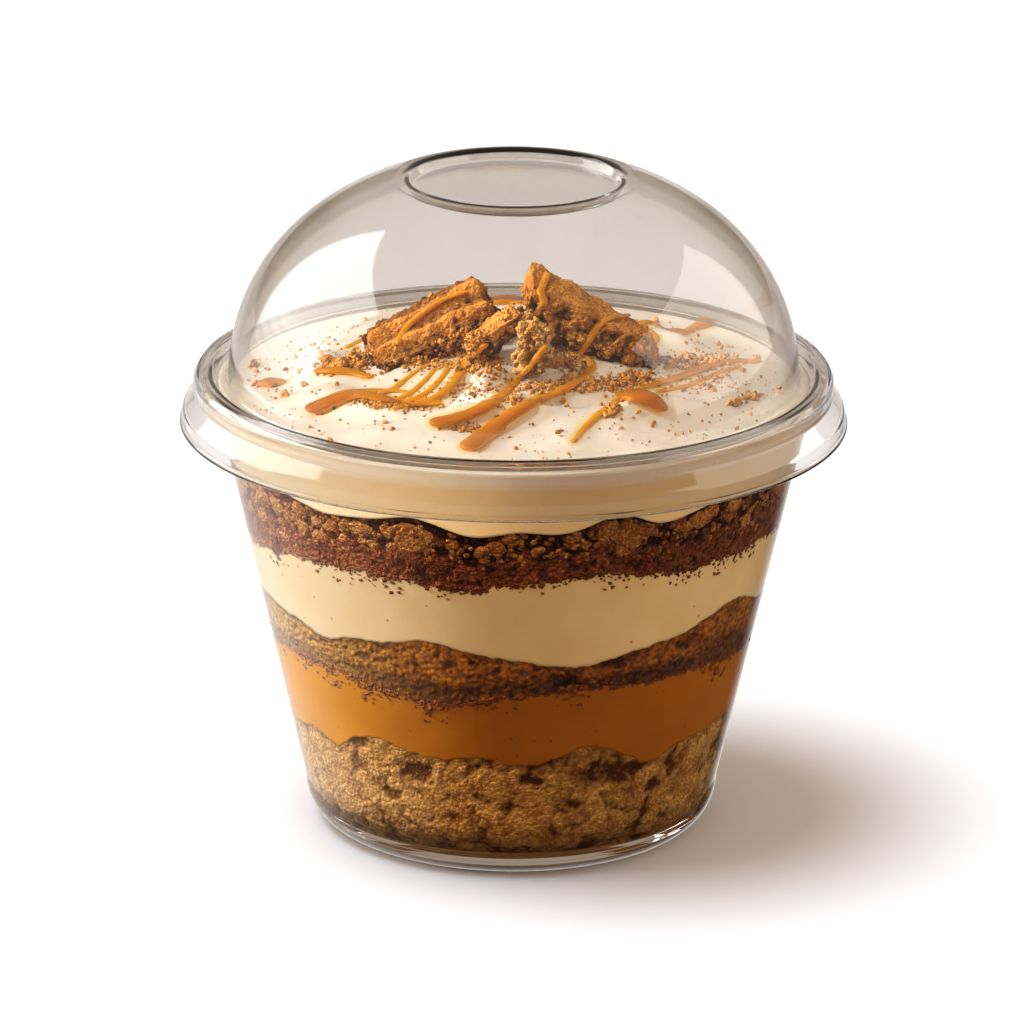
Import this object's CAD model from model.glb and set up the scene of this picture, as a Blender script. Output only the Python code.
"""The looks of a layered tiramisu in a clear cup with a domed lid.

Lengths are in millimetres, as in the part's own source, and MM scales them where a mesh or a light
is made. The frame is +Z up, the cup's axis is X = Y = 0, the foot stands on Z = 0 and the front of
the dessert looks towards -Y. Angles round the cup are in degrees from the front, positive to +X.
"""

import logging
import math
from dataclasses import dataclass, field
from enum import Enum
from typing import Callable, Sequence

import bpy
import numpy as np
from mathutils import Matrix, Vector
from mathutils.bvhtree import BVHTree
from mathutils.kdtree import KDTree


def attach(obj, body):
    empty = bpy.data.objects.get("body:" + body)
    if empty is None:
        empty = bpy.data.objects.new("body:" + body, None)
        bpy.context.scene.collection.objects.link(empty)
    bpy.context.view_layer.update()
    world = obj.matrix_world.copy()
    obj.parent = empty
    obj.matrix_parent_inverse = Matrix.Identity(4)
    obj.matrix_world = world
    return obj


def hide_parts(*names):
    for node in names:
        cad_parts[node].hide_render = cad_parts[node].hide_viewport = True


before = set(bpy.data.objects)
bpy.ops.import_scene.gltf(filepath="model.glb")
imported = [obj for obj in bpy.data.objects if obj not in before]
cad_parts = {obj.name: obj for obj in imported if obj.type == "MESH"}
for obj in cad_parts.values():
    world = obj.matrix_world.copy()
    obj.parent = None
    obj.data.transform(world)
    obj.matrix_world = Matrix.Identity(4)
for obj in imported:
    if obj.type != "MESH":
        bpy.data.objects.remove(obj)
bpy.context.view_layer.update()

log = logging.getLogger("tiramisu")

MM = 0.001
BODY = "root"

# Sizes of the cup's inside that the food has to fit.
CUP_WALL = 1.3
CORNER_HEIGHT = 7.0
CORNER_RADIUS = 32.2
WALL_FLARE = 0.224
FLOOR_HEIGHT = 4.3
FLOOR_RADIUS = 25.8
INNER_CORNER = 5.0
REACH = 0.9  # how far the food reaches into the cup's wall, so that its pores hold no air
COLUMNS = 640  # facets round smooth food
FINE_COLUMNS = 1000  # facets round porous food

Surface = Callable[[np.ndarray, np.ndarray], np.ndarray]
Pieces = Sequence[bpy.types.Object]


def wall_radius(z: np.ndarray) -> np.ndarray:
    """Outside radius of the cup's straight wall at a height."""
    return CORNER_RADIUS + WALL_FLARE * (z - CORNER_HEIGHT)


def inner_radius(z: np.ndarray) -> np.ndarray:
    """Inside radius of the cup at a height, rounded into the floor at its foot."""
    wall = wall_radius(z) - CUP_WALL
    climbed = np.clip((z - FLOOR_HEIGHT) / INNER_CORNER, 0.0, 1.0)
    return FLOOR_RADIUS + (wall - FLOOR_RADIUS) * np.sqrt(1.0 - (1.0 - climbed) ** 2)


def smooth_step(value: np.ndarray, low: float, high: float) -> np.ndarray:
    """0 below low, 1 above high and an S-curve between; low may be the larger.

    Args:
        value: What to compare.
        low: Where the result is 0.
        high: Where the result is 1.

    Returns:
        The eased share, of value's shape.
    """
    t = np.clip((value - low) / (high - low), 0.0, 1.0)
    return t * t * (3.0 - 2.0 * t)


# --- noise -------------------------------------------------------------------------------------


def hashed(cell: np.ndarray, seed: int) -> np.ndarray:
    """A repeatable number from 0 to 1 for each whole-numbered cell.

    Args:
        cell: Whole numbers, with X, Y and Z on the last axis.
        seed: Picks one of many such fields.

    Returns:
        The numbers, one for each cell.
    """
    c = cell.astype(np.int64).astype(np.uint64)
    mask = np.uint64(0xFFFFFFFF)
    h = c[..., 0] * np.uint64(374761393) + c[..., 1] * np.uint64(668265263)
    h = (h + c[..., 2] * np.uint64(2246822519) + np.uint64(seed * 3266489917)) & mask
    for shift in (15, 13):
        h = ((h ^ (h >> np.uint64(shift))) * np.uint64(2654435761)) & mask
    return ((h ^ (h >> np.uint64(16))) & mask).astype(float) / 4294967295.0


def drift(points: np.ndarray, size: float, seed: int, octaves: int = 1) -> np.ndarray:
    """Smooth noise from -1 to 1, with finer noise of half the size and height added per octave.

    Args:
        points: Places, with X, Y and Z on the last axis.
        size: Width of a hump of the coarsest noise.
        seed: Picks one of many such fields.
        octaves: How many sizes are added.

    Returns:
        The noise at each place.
    """
    total = np.zeros(points.shape[:-1])
    height, reached = 1.0, 0.0
    for octave in range(octaves):
        p = points / (size * 0.5**octave) + 31.7 * octave
        base = np.floor(p)
        t = p - base
        t = t * t * (3.0 - 2.0 * t)
        value = np.zeros(points.shape[:-1])
        for corner in range(8):
            offset = np.array([corner & 1, corner >> 1 & 1, corner >> 2 & 1])
            share = np.prod(np.where(offset == 1, t, 1.0 - t), axis=-1)
            value += share * hashed(base + offset, seed + octave)
        total += height * (2.0 * value - 1.0)
        reached += height
        height *= 0.5
    return total / reached


def pebbles(points: np.ndarray, size: float, seed: int) -> tuple[np.ndarray, np.ndarray, np.ndarray]:
    """Cells like packed pebbles.

    Args:
        points: Places, with X, Y and Z on the last axis.
        size: Width of a pebble.
        seed: Picks one of many such fields.

    Returns:
        The distance to the nearest pebble's middle, that to the second nearest, both as a share of
        size, and the nearest pebble's own number from 0 to 1.
    """
    p = points / size
    base = np.floor(p)
    first = np.full(points.shape[:-1], 9.0)
    second = first.copy()
    number = np.zeros_like(first)
    for i in (-1, 0, 1):
        for j in (-1, 0, 1):
            for k in (-1, 0, 1):
                cell = base + np.array([i, j, k])
                middle = cell + np.stack([hashed(cell, seed + n) for n in range(3)], -1)
                away = np.linalg.norm(p - middle, axis=-1)
                nearer = away < first
                second = np.where(nearer, first, np.minimum(second, away))
                number = np.where(nearer, hashed(cell, seed + 3), number)
                first = np.where(nearer, away, first)
    return first, second, number


# --- meshes ------------------------------------------------------------------------------------


@dataclass
class Shape:
    """Points, faces and values on the points, gathered before they become a mesh."""

    points: list[np.ndarray] = field(default_factory=list)
    faces: list[np.ndarray] = field(default_factory=list)
    values: dict[str, list[np.ndarray]] = field(default_factory=dict)
    count: int = 0

    def add(self, points: np.ndarray, faces: Sequence[np.ndarray], **values: np.ndarray) -> int:
        """Adds points with the faces between them.

        Args:
            points: Places in millimetres, one to a row.
            faces: Arrays of faces, each of one number of corners, counted from these points.
            **values: A number for each point under each name.

        Returns:
            The number of the first of these points.
        """
        start = self.count
        self.points.append(points)
        self.faces += [np.asarray(f) + start for f in faces if len(f)]
        for name, numbers in values.items():
            self.values.setdefault(name, []).append(np.broadcast_to(numbers, len(points)))
        self.count += len(points)
        return start

    def mark(self, name: str, numbers: np.ndarray) -> None:
        """Gives every point a number under a name."""
        self.values[name] = [numbers]

    def tree(self) -> BVHTree:
        """A tree for casting rays at the shape, in millimetres."""
        polygons = [tuple(face) for block in self.faces for face in block.tolist()]
        return BVHTree.FromPolygons(np.concatenate(self.points).tolist(), polygons)

    def piece(self, name: str, material: bpy.types.Material) -> bpy.types.Object:
        """Makes the shape a smooth-shaded object of the scene.

        Args:
            name: The piece's name.
            material: Its finish.

        Returns:
            The new object.
        """
        mesh = bpy.data.meshes.new(name)
        polygons = [face for block in self.faces for face in block.tolist()]
        mesh.from_pydata((np.concatenate(self.points) * MM).tolist(), [], polygons)
        for label, blocks in self.values.items():
            layer = mesh.attributes.new(label, "FLOAT", "POINT")
            layer.data.foreach_set("value", np.concatenate(blocks).astype(np.float32))
        mesh.materials.append(material)
        mesh.shade_smooth()
        mesh.validate()
        made = bpy.data.objects.new(name, mesh)
        bpy.context.scene.collection.objects.link(made)
        return made


def grid_faces(rows: int, columns: int, closed: bool = True, start: int = 0) -> np.ndarray:
    """Quads between rows of points that run anticlockwise, seen from above, from low to high.

    Args:
        rows: How many rows of points there are.
        columns: How many points each row has.
        closed: Whether the last column joins the first.
        start: The number of the first point.

    Returns:
        The quads, one to a row.
    """
    i, j = np.meshgrid(np.arange(rows - 1), np.arange(columns if closed else columns - 1), indexing="ij")
    n = (j + 1) % columns
    quads = np.stack([i * columns + j, i * columns + n, (i + 1) * columns + n, (i + 1) * columns + j], -1)
    return quads.reshape(-1, 4) + start


def lathe(outline: Sequence[tuple[float, float]], facets: int) -> Shape:
    """Spins a cross-section, whose ends lie on the axis, into a closed shape.

    Args:
        outline: Radius and height of each point, from the axis below, outside, to the axis above.
        facets: How many facets go round.

    Returns:
        The closed shape.
    """
    ends = outline[0], outline[-1]
    ring = np.array(outline[1:-1])
    turn = np.linspace(0.0, 2.0 * math.pi, facets, endpoint=False)
    x = ring[:, :1] * np.cos(turn)
    y = ring[:, :1] * np.sin(turn)
    z = np.broadcast_to(ring[:, 1:], x.shape)
    points = np.stack([x, y, z], -1).reshape(-1, 3)
    poles = np.array([(0.0, 0.0, end[1]) for end in ends])
    body = grid_faces(len(ring), facets)
    j = np.arange(facets)
    n = (j + 1) % facets
    low = np.stack([np.full(facets, len(points)), n, j], -1)
    last = (len(ring) - 1) * facets
    high = np.stack([np.full(facets, len(points) + 1), last + j, last + n], -1)
    shape = Shape()
    shape.add(np.concatenate([points, poles]), [body, low, high])
    return shape


def filleted(corners: Sequence[tuple[float, float, float]], steps: int = 5) -> list[tuple[float, float]]:
    """A line through corners, each rounded by an arc.

    Args:
        corners: Radius, height and fillet radius of each corner.
        steps: How many facets an arc has.

    Returns:
        The points of the rounded line.
    """
    line: list[tuple[float, float]] = [corners[0][:2]]
    for before, here, after in zip(corners, corners[1:], corners[2:]):
        a, b, c = (Vector(p[:2]) for p in (before, here, after))
        to_a, to_c = (a - b), (c - b)
        bend = math.pi - to_a.angle(to_c)
        if here[2] <= 0.0 or bend < 0.02:
            line.append(tuple(b))
            continue
        reach = min(here[2] * math.tan(bend / 2), 0.49 * to_a.length, 0.49 * to_c.length)
        start, end = b + to_a.normalized() * reach, b + to_c.normalized() * reach
        for step in range(steps + 1):
            t = step / steps
            line.append(tuple(start * (1 - t) ** 2 + b * 2 * t * (1 - t) + end * t * t))
    line.append(corners[-1][:2])
    return line


def dense(line: Sequence[tuple[float, float]], longest: float = 0.7) -> list[tuple[float, float]]:
    """The same line with points added, so that smooth shading keeps its straight runs straight.

    Args:
        line: Radius and height of each point.
        longest: The longest run that stays without a point.

    Returns:
        The points of the line.
    """
    found = [line[0]]
    for a, b in zip(line, line[1:]):
        length = math.dist(a, b)
        if length < 1e-6:
            continue
        parts = max(1, math.ceil(length / longest))
        ends = min(0.12, 0.2 * length)
        shares = [k / parts for k in range(1, parts)]
        if parts > 1:
            shares = [ends / length, *shares, 1.0 - ends / length]
        found += [(a[0] + (b[0] - a[0]) * t, a[1] + (b[1] - a[1]) * t) for t in (*shares, 1.0)]
    return found


def even(line: Sequence[tuple[float, float]], spacing: float) -> list[tuple[float, float]]:
    """Points at even distances along a line, with its two ends kept."""
    p = np.array(line)
    run = np.concatenate([[0.0], np.cumsum(np.linalg.norm(np.diff(p, axis=0), axis=1))])
    at = np.linspace(0.0, run[-1], max(2, round(run[-1] / spacing)) + 1)
    return list(zip(np.interp(at, run, p[:, 0]).tolist(), np.interp(at, run, p[:, 1]).tolist()))


def beside(line: Sequence[tuple[float, float]], distance: float) -> list[tuple[float, float]]:
    """The line at a distance on the right of another one.

    Args:
        line: Radius and height of each point.
        distance: How far to the right; negative is to the left.

    Returns:
        The points of the new line.
    """
    p = np.array(line)
    step = np.diff(p, axis=0)
    step /= np.linalg.norm(step, axis=1, keepdims=True)
    run = np.concatenate([step[:1], step[:-1] + step[1:], step[-1:]])
    run /= np.linalg.norm(run, axis=1, keepdims=True)
    moved = p + distance * np.stack([run[:, 1], -run[:, 0]], -1)
    moved[:, 0] = np.maximum(moved[:, 0], 0.0)
    return [tuple(q) for q in moved]


# --- shader nodes ------------------------------------------------------------------------------

Value = bpy.types.NodeSocket | float | tuple


class Desk:
    """A node tree with short calls that add a node and join it up."""

    def __init__(self, tree: bpy.types.NodeTree) -> None:
        """Works on this tree, which starts empty."""
        self.tree = tree
        tree.nodes.clear()

    def node(self, kind: str, settings: dict | None = None, **inputs: Value) -> bpy.types.Node:
        """Adds a node.

        Args:
            kind: Its type without the ShaderNode prefix.
            settings: Its properties.
            **inputs: What goes into its sockets, by name with _ for a space.

        Returns:
            The node.
        """
        made = self.tree.nodes.new(f"ShaderNode{kind}")
        for name, setting in (settings or {}).items():
            setattr(made, name, setting)
        for name, value in inputs.items():
            self.feed(made.inputs[name.replace("_", " ")], value)
        return made

    def feed(self, socket: bpy.types.NodeSocket, value: Value) -> None:
        """Links an output to a socket, or sets the socket's own number or colour."""
        if isinstance(value, bpy.types.NodeSocket):
            self.tree.links.new(value, socket)
        elif isinstance(value, tuple) and len(value) == 3 and socket.type == "RGBA":
            socket.default_value = (*value, 1.0)
        else:
            socket.default_value = value

    def math(self, operation: str, *values: Value) -> bpy.types.NodeSocket:
        """Adds a Math node and returns its output."""
        made = self.node("Math", {"operation": operation})
        for socket, value in zip(made.inputs, values):
            self.feed(socket, value)
        return made.outputs[0]

    def mixed(self, share: Value, a: Value, b: Value) -> bpy.types.NodeSocket:
        """A colour between a, at share 0, and b, at share 1."""
        made = self.node("Mix", {"data_type": "RGBA"})
        for index, value in ((0, share), (6, a), (7, b)):
            self.feed(made.inputs[index], value)
        return made.outputs[2]

    def ramp(self, value: Value, low: Value, high: Value, to: tuple = (0.0, 1.0)) -> bpy.types.NodeSocket:
        """value, eased from low..high to the range in to."""
        made = self.node("MapRange", {"interpolation_type": "SMOOTHSTEP"})
        for name, v in (("Value", value), ("From Min", low), ("From Max", high)):
            self.feed(made.inputs[name], v)
        self.feed(made.inputs["To Min"], to[0])
        self.feed(made.inputs["To Max"], to[1])
        return made.outputs["Result"]

    def attribute(self, name: str) -> bpy.types.NodeSocket:
        """A number that the mesh carries on its points."""
        return self.node("Attribute", {"attribute_name": name}).outputs["Fac"]

    def place(self) -> bpy.types.NodeSocket:
        """The piece's own coordinates, in metres."""
        return self.node("TexCoord").outputs["Object"]

    def noise(self, size: Value, detail: float = 2.0, rough: float = 0.5) -> bpy.types.NodeSocket:
        """Noise whose humps are about size millimetres wide."""
        if isinstance(size, bpy.types.NodeSocket):
            scale = self.math("DIVIDE", 1.0 / MM, size)
        else:
            scale = 1.0 / (MM * size)
        made = self.node("TexNoise", Vector=self.place(), Scale=scale, Detail=detail, Roughness=rough)
        return made.outputs[0]

    def group(self, tree: bpy.types.NodeTree, **inputs: Value) -> bpy.types.Node:
        """Adds a node group with values for its inputs."""
        made = self.node("Group", {"node_tree": tree})
        for name, value in inputs.items():
            self.feed(made.inputs[name.replace("_", " ")], value)
        return made


def new_group(name: str, inputs: dict[str, str], outputs: dict[str, str]) -> tuple[Desk, dict, dict]:
    """Starts a shader node group.

    Args:
        name: The group's name.
        inputs: Socket type by input name.
        outputs: Socket type by output name.

    Returns:
        The group's desk, its inputs as sockets to read, and its outputs as sockets to feed.
    """
    tree = bpy.data.node_groups.new(name, "ShaderNodeTree")
    for side, sockets in (("INPUT", inputs), ("OUTPUT", outputs)):
        for label, kind in sockets.items():
            tree.interface.new_socket(label, in_out=side, socket_type=f"NodeSocket{kind}")
    desk = Desk(tree)
    entry = tree.nodes.new("NodeGroupInput")
    leave = tree.nodes.new("NodeGroupOutput")
    return desk, {n: entry.outputs[n] for n in inputs}, {n: leave.inputs[n] for n in outputs}


class Effects:
    """The node groups that several finishes share."""

    def __init__(self) -> None:
        """Builds each group once."""
        self.crumb = self.crumb_group()
        self.fleck = self.fleck_group()
        self.tone = self.tone_group()
        self.pale = self.pale_group()

    @staticmethod
    def crumb_group() -> bpy.types.NodeTree:
        """Baked crumb: grains with crevices between them and fine grit on top."""
        desk, given, out = new_group(
            "baked crumb",
            {"Size": "Float", "Grit": "Float"},
            {"Height": "Float", "Crevice": "Float", "Number": "Float"},
        )
        scale = desk.math("DIVIDE", 1.0 / MM, given["Size"])
        wobble = desk.noise(0.9, 3.0)
        spot = desk.node("VectorMath", {"operation": "MULTIPLY_ADD"})
        desk.feed(spot.inputs[0], desk.node("CombineXYZ", X=wobble, Y=wobble, Z=wobble).outputs[0])
        spot.inputs[1].default_value = (0.0006, 0.0006, 0.0006)
        desk.feed(spot.inputs[2], desk.place())
        cells = desk.node("TexVoronoi", {"feature": "F1"}, Vector=spot.outputs[0], Scale=scale)
        grit = desk.noise(0.22, 3.0, 0.7)
        dome = desk.ramp(cells.outputs["Distance"], 0.75, 0.0)
        desk.feed(out["Height"], desk.math("ADD", dome, desk.math("MULTIPLY", grit, given["Grit"])))
        desk.feed(out["Crevice"], desk.ramp(cells.outputs["Distance"], 0.42, 0.8))
        apart = desk.node("SeparateColor", Color=cells.outputs["Color"])
        desk.feed(out["Number"], apart.outputs[0])
        return desk.tree

    @staticmethod
    def fleck_group() -> bpy.types.NodeTree:
        """Small scattered flecks, as a mask."""
        desk, given, out = new_group("flecks", {"Size": "Float", "Share": "Float"}, {"Mask": "Float"})
        scale = desk.math("DIVIDE", 1.0 / MM, given["Size"])
        cells = desk.node("TexVoronoi", {"feature": "F1"}, Vector=desk.place(), Scale=scale)
        number = desk.node("SeparateColor", Color=cells.outputs["Color"]).outputs[0]
        chosen = desk.math("LESS_THAN", number, given["Share"])
        dot = desk.ramp(cells.outputs["Distance"], 0.34, 0.2)
        desk.feed(out["Mask"], desk.math("MULTIPLY", chosen, dot))
        return desk.tree

    @staticmethod
    def tone_group() -> bpy.types.NodeTree:
        """Slow uneven shifts between two colours."""
        desk, given, out = new_group(
            "uneven tone",
            {"One": "Color", "Other": "Color", "Size": "Float"},
            {"Colour": "Color", "Share": "Float"},
        )
        share = desk.ramp(desk.noise(given["Size"], 3.0, 0.55), 0.32, 0.68)
        desk.feed(out["Share"], share)
        desk.feed(out["Colour"], desk.mixed(share, given["One"], given["Other"]))
        return desk.tree

    @staticmethod
    def pale_group() -> bpy.types.NodeTree:
        """A colour made paler where the mesh says that the food is pale."""
        wanted = {"Colour": "Color", "Strength": "Float"}
        desk, given, out = new_group("pale side", wanted, {"Colour": "Color"})
        pale = desk.math("MINIMUM", desk.attribute("pale"), 1.15)
        power = desk.math("SUBTRACT", 1.0, desk.math("MULTIPLY", pale, given["Strength"]))
        desk.feed(out["Colour"], desk.node("Gamma", Color=given["Colour"], Gamma=power).outputs[0])
        return desk.tree


def new_material(name: str) -> tuple[bpy.types.Material, Desk]:
    """An empty material and the desk for its nodes."""
    material = bpy.data.materials.new(name)
    material.use_nodes = True
    return material, Desk(material.node_tree)


def finish_off(desk: Desk, shader: bpy.types.NodeSocket) -> None:
    """Joins a shader to the material's output."""
    desk.node("OutputMaterial", Surface=shader)


@dataclass(frozen=True)
class ClearPlastic:
    """Clear rigid plastic that lets lamps reach what is inside."""

    name: str = "clear_plastic"
    tint: tuple = (0.765, 0.742, 0.705)
    edge_tint: tuple = (0.17, 0.115, 0.06)
    lamp_tint: tuple = (0.975, 0.965, 0.955)
    foot_tint: tuple = (0.66, 0.58, 0.50)
    refraction: float = 1.49

    def material(self) -> bpy.types.Material:
        """Builds the material; faint handling marks change its gloss."""
        material, desk = new_material(self.name)
        marks = desk.ramp(desk.noise(14.0, 4.0, 0.6), 0.5, 0.8, (0.0, 0.035))
        height = desk.node("SeparateXYZ", Vector=desk.place()).outputs["Z"]
        walls = desk.math("MULTIPLY", desk.ramp(height, 0.0715, 0.0735), desk.ramp(height, 0.1, 0.097))
        slant = desk.ramp(desk.node("LayerWeight").outputs["Facing"], 0.5, 0.93)
        slant = desk.math("MULTIPLY", slant, desk.math("ADD", desk.math("MULTIPLY", walls, 0.88), 0.12))
        colour = desk.mixed(slant, self.tint, self.edge_tint)
        glass = desk.node(
            "BsdfPrincipled", Base_Color=colour, Roughness=marks, Transmission_Weight=1.0, IOR=self.refraction
        )
        passed = desk.mixed(desk.ramp(height, 4.0 * MM, 8.0 * MM), self.foot_tint, self.lamp_tint)
        open_air = desk.node("BsdfTransparent", Color=passed)
        light = desk.node("LightPath")
        inner = desk.node("MixShader", Fac=light.outputs["Is Diffuse Ray"])
        outer = desk.node("MixShader", Fac=light.outputs["Is Shadow Ray"])
        for mix, first in ((inner, glass), (outer, inner)):
            desk.feed(mix.inputs[1], first.outputs[0])
            desk.feed(mix.inputs[2], open_air.outputs[0])
        finish_off(desk, outer.outputs[0])
        return material


@dataclass(frozen=True)
class Cream:
    """Smooth cream with a few flecks, and a fringe of crumbs where a crumb layer touches it."""

    name: str
    colour: tuple
    other: tuple
    fleck: tuple
    fleck_share: float
    fringe: tuple = (0.11, 0.028, 0.010)
    fringe_depth: float = 0.0
    roughness: float = 0.42
    soft: float = 0.2
    gloss: float = 0.15
    paler: float = 0.0
    brighter: float = 0.0  # how much brighter it is where it is pale
    side: tuple = ()
    pale_side: tuple = (0.78, 0.68, 0.50)
    halo: tuple = ()

    def material(self, effects: Effects) -> bpy.types.Material:
        """Builds the material."""
        material, desk = new_material(self.name)
        colour = desk.group(effects.tone, One=self.colour, Other=self.other, Size=9.0).outputs["Colour"]
        flecks = desk.group(effects.fleck, Size=0.85, Share=self.fleck_share).outputs["Mask"]
        colour = desk.mixed(desk.math("MULTIPLY", flecks, 0.75), colour, self.fleck)
        if self.fringe_depth > 0:
            near = desk.ramp(desk.attribute("below_top"), self.fringe_depth, 0.0)
            level = desk.math("ADD", desk.noise(0.75, 3.0, 0.6), desk.math("MULTIPLY", near, 0.42))
            colour = desk.mixed(desk.ramp(level, 0.74, 0.82), colour, self.fringe)
        colour = desk.group(effects.pale, Colour=colour, Strength=self.paler).outputs["Colour"]
        if self.brighter > 0:
            scaled = desk.node("VectorMath", {"operation": "SCALE"})
            desk.feed(scaled.inputs[0], colour)
            lift = desk.math("MULTIPLY", desk.math("MINIMUM", desk.attribute("pale"), 1.1), self.brighter)
            desk.feed(scaled.inputs["Scale"], desk.math("ADD", lift, 1.0))
            colour = scaled.outputs[0]
        if self.side:
            dry = desk.math("MINIMUM", desk.attribute("pale"), 1.0)
            colour = desk.mixed(desk.attribute("side"), colour, desk.mixed(dry, self.side, self.pale_side))
        if self.halo:
            colour = desk.mixed(desk.attribute("halo"), colour, self.halo)
        waves = desk.math("ADD", desk.noise(2.2, 2.0), desk.math("MULTIPLY", desk.noise(0.4, 2.0), 0.12))
        bump = desk.node("Bump", Strength=0.25, Distance=0.0003, Height=waves)
        gloss = (self.roughness - 0.06, self.roughness + 0.1)
        cream = desk.node(
            "BsdfPrincipled",
            Base_Color=colour,
            Roughness=desk.ramp(desk.noise(3.0, 2.0), 0.3, 0.7, gloss),
            Subsurface_Weight=self.soft,
            Subsurface_Scale=0.0016,
            Specular_IOR_Level=self.gloss,
            Normal=bump.outputs[0],
        )
        cream.inputs["Subsurface Radius"].default_value = (1.0, 0.55, 0.25)
        finish_off(desk, cream.outputs[0])
        return material


@dataclass(frozen=True)
class Crumb:
    """Baked crumb: sponge, biscuit or crumbs, darker in its hollows."""

    name: str
    light: tuple
    middle: tuple
    dark: tuple
    grain: float
    roughness: float = 0.85
    grit: float = 0.35
    relief: float = 0.35
    gloss: float = 0.0
    shine: float = 0.15
    paler: float = 0.0
    filled: float = 0.25  # how much less its hollows show where it is pale
    cracks: float = 0.75  # how dark the lines between its fine grains are
    wet_edge: float = 0.0

    def material(self, effects: Effects) -> bpy.types.Material:
        """Builds the material."""
        material, desk = new_material(self.name)
        crumb = desk.group(effects.crumb, Size=self.grain, Grit=self.grit)
        tone = desk.group(effects.tone, One=self.middle, Other=self.light, Size=3.2)
        lit_share = desk.math("MULTIPLY", crumb.outputs["Number"], 0.45)
        colour = desk.mixed(lit_share, tone.outputs["Colour"], self.light)
        colour = desk.group(effects.pale, Colour=colour, Strength=self.paler).outputs["Colour"]
        dark = desk.group(effects.pale, Colour=self.dark, Strength=0.7 * self.paler).outputs["Colour"]
        crack = desk.math("MULTIPLY", crumb.outputs["Crevice"], self.cracks)
        hollow = desk.math("MAXIMUM", desk.attribute("hollow"), crack)
        dry = desk.math("MULTIPLY", desk.math("MINIMUM", desk.attribute("pale"), 1.0), self.filled)
        colour = desk.mixed(desk.math("MULTIPLY", hollow, desk.math("SUBTRACT", 1.0, dry)), colour, dark)
        if self.wet_edge > 0:
            ragged = desk.math("MULTIPLY", desk.noise(2.5, 3.0), 1.6)
            depth = desk.math("ADD", desk.attribute("below_top"), ragged)
            colour = desk.mixed(desk.ramp(depth, 0.7 + self.wet_edge, 0.5, (0.0, 0.4)), colour, dark)
        bump = desk.node("Bump", Strength=0.8, Distance=self.relief * MM, Height=crumb.outputs["Height"])
        dry_and_wet = (self.roughness, self.roughness * (1.0 - self.gloss))
        wet = desk.ramp(desk.noise(2.4, 3.0), 0.42, 0.62, dry_and_wet)
        baked = desk.node(
            "BsdfPrincipled",
            Base_Color=colour,
            Roughness=wet,
            Specular_IOR_Level=self.shine,
            Normal=bump.outputs[0],
        )
        finish_off(desk, baked.outputs[0])
        return material


@dataclass(frozen=True)
class Sauce:
    """Glossy caramel sauce, golden where it is thin and darker where it is thick."""

    name: str = "caramel_sauce"
    thin: tuple = (0.84, 0.45, 0.02)
    middle: tuple = (0.68, 0.27, 0.001)
    thick: tuple = (0.50, 0.145, 0.0)

    def material(self) -> bpy.types.Material:
        """Builds the material."""
        material, desk = new_material(self.name)
        depth = desk.math("ADD", desk.attribute("depth"), desk.math("MULTIPLY", desk.noise(3.0, 2.0), 0.25))
        colour = desk.mixed(desk.ramp(depth, 0.16, 0.55), self.thin, self.middle)
        colour = desk.mixed(desk.ramp(depth, 0.5, 1.3), colour, self.thick)
        bump = desk.node("Bump", Strength=0.15, Distance=0.0003, Height=desk.noise(1.6, 2.0))
        sauce = desk.node(
            "BsdfPrincipled",
            Base_Color=colour,
            Roughness=desk.ramp(desk.noise(1.2, 2.0), 0.3, 0.7, (0.06, 0.15)),
            Subsurface_Weight=0.06,
            Subsurface_Scale=0.001,
            Specular_IOR_Level=0.4,
            Normal=bump.outputs[0],
        )
        sauce.inputs["Subsurface Radius"].default_value = (1.0, 0.4, 0.1)
        finish_off(desk, sauce.outputs[0])
        return material


# --- the dessert's shapes ----------------------------------------------------------------------


@dataclass(frozen=True)
class Bump:
    """One hump (or dip, where height is negative) along the edge of a layer."""

    angle: float
    height: float
    spread: float


@dataclass(frozen=True)
class Seam:
    """The wavy surface between two layers, with ragged detail finer than its bumps."""

    level: float
    bumps: tuple[Bump, ...] = ()
    ragged: float = 0.0
    ragged_size: float = 2.0
    crumbly: float = 0.0  # how far single crumbs stand out of it

    def height(self, x: np.ndarray, y: np.ndarray) -> np.ndarray:
        """Height of the seam over a place on the plan."""
        angle = np.degrees(np.arctan2(x, -y))
        rise = np.zeros_like(angle)
        for bump in self.bumps:
            away = (angle - bump.angle + 180.0) % 360.0 - 180.0
            rise += bump.height * np.exp(-((away / bump.spread) ** 2))
        if self.ragged:
            place = np.stack([x, y, np.full_like(x, self.level)], -1)
            rise += self.ragged * drift(place, self.ragged_size, 7, 3)
            rise += self.crumbly * drift(place, 0.95, 13, 2)
        fade = np.clip(np.hypot(x, y) / inner_radius(np.float64(self.level)), 0.0, 1.0)
        return self.level + rise * fade * fade


@dataclass(frozen=True)
class Fold:
    """A long low fold in the whipped cream, or a trough where height is negative."""

    x: float
    y: float
    heading: float
    length: float
    width: float
    height: float

    def rise(self, x: np.ndarray, y: np.ndarray) -> np.ndarray:
        """How far it lifts the cream over a place on the plan."""
        turn = math.radians(self.heading)
        along = (x - self.x) * math.cos(turn) + (y - self.y) * math.sin(turn)
        across = (y - self.y) * math.cos(turn) - (x - self.x) * math.sin(turn)
        return self.height * np.exp(-((along / self.length) ** 2) - (across / self.width) ** 2)


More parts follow.
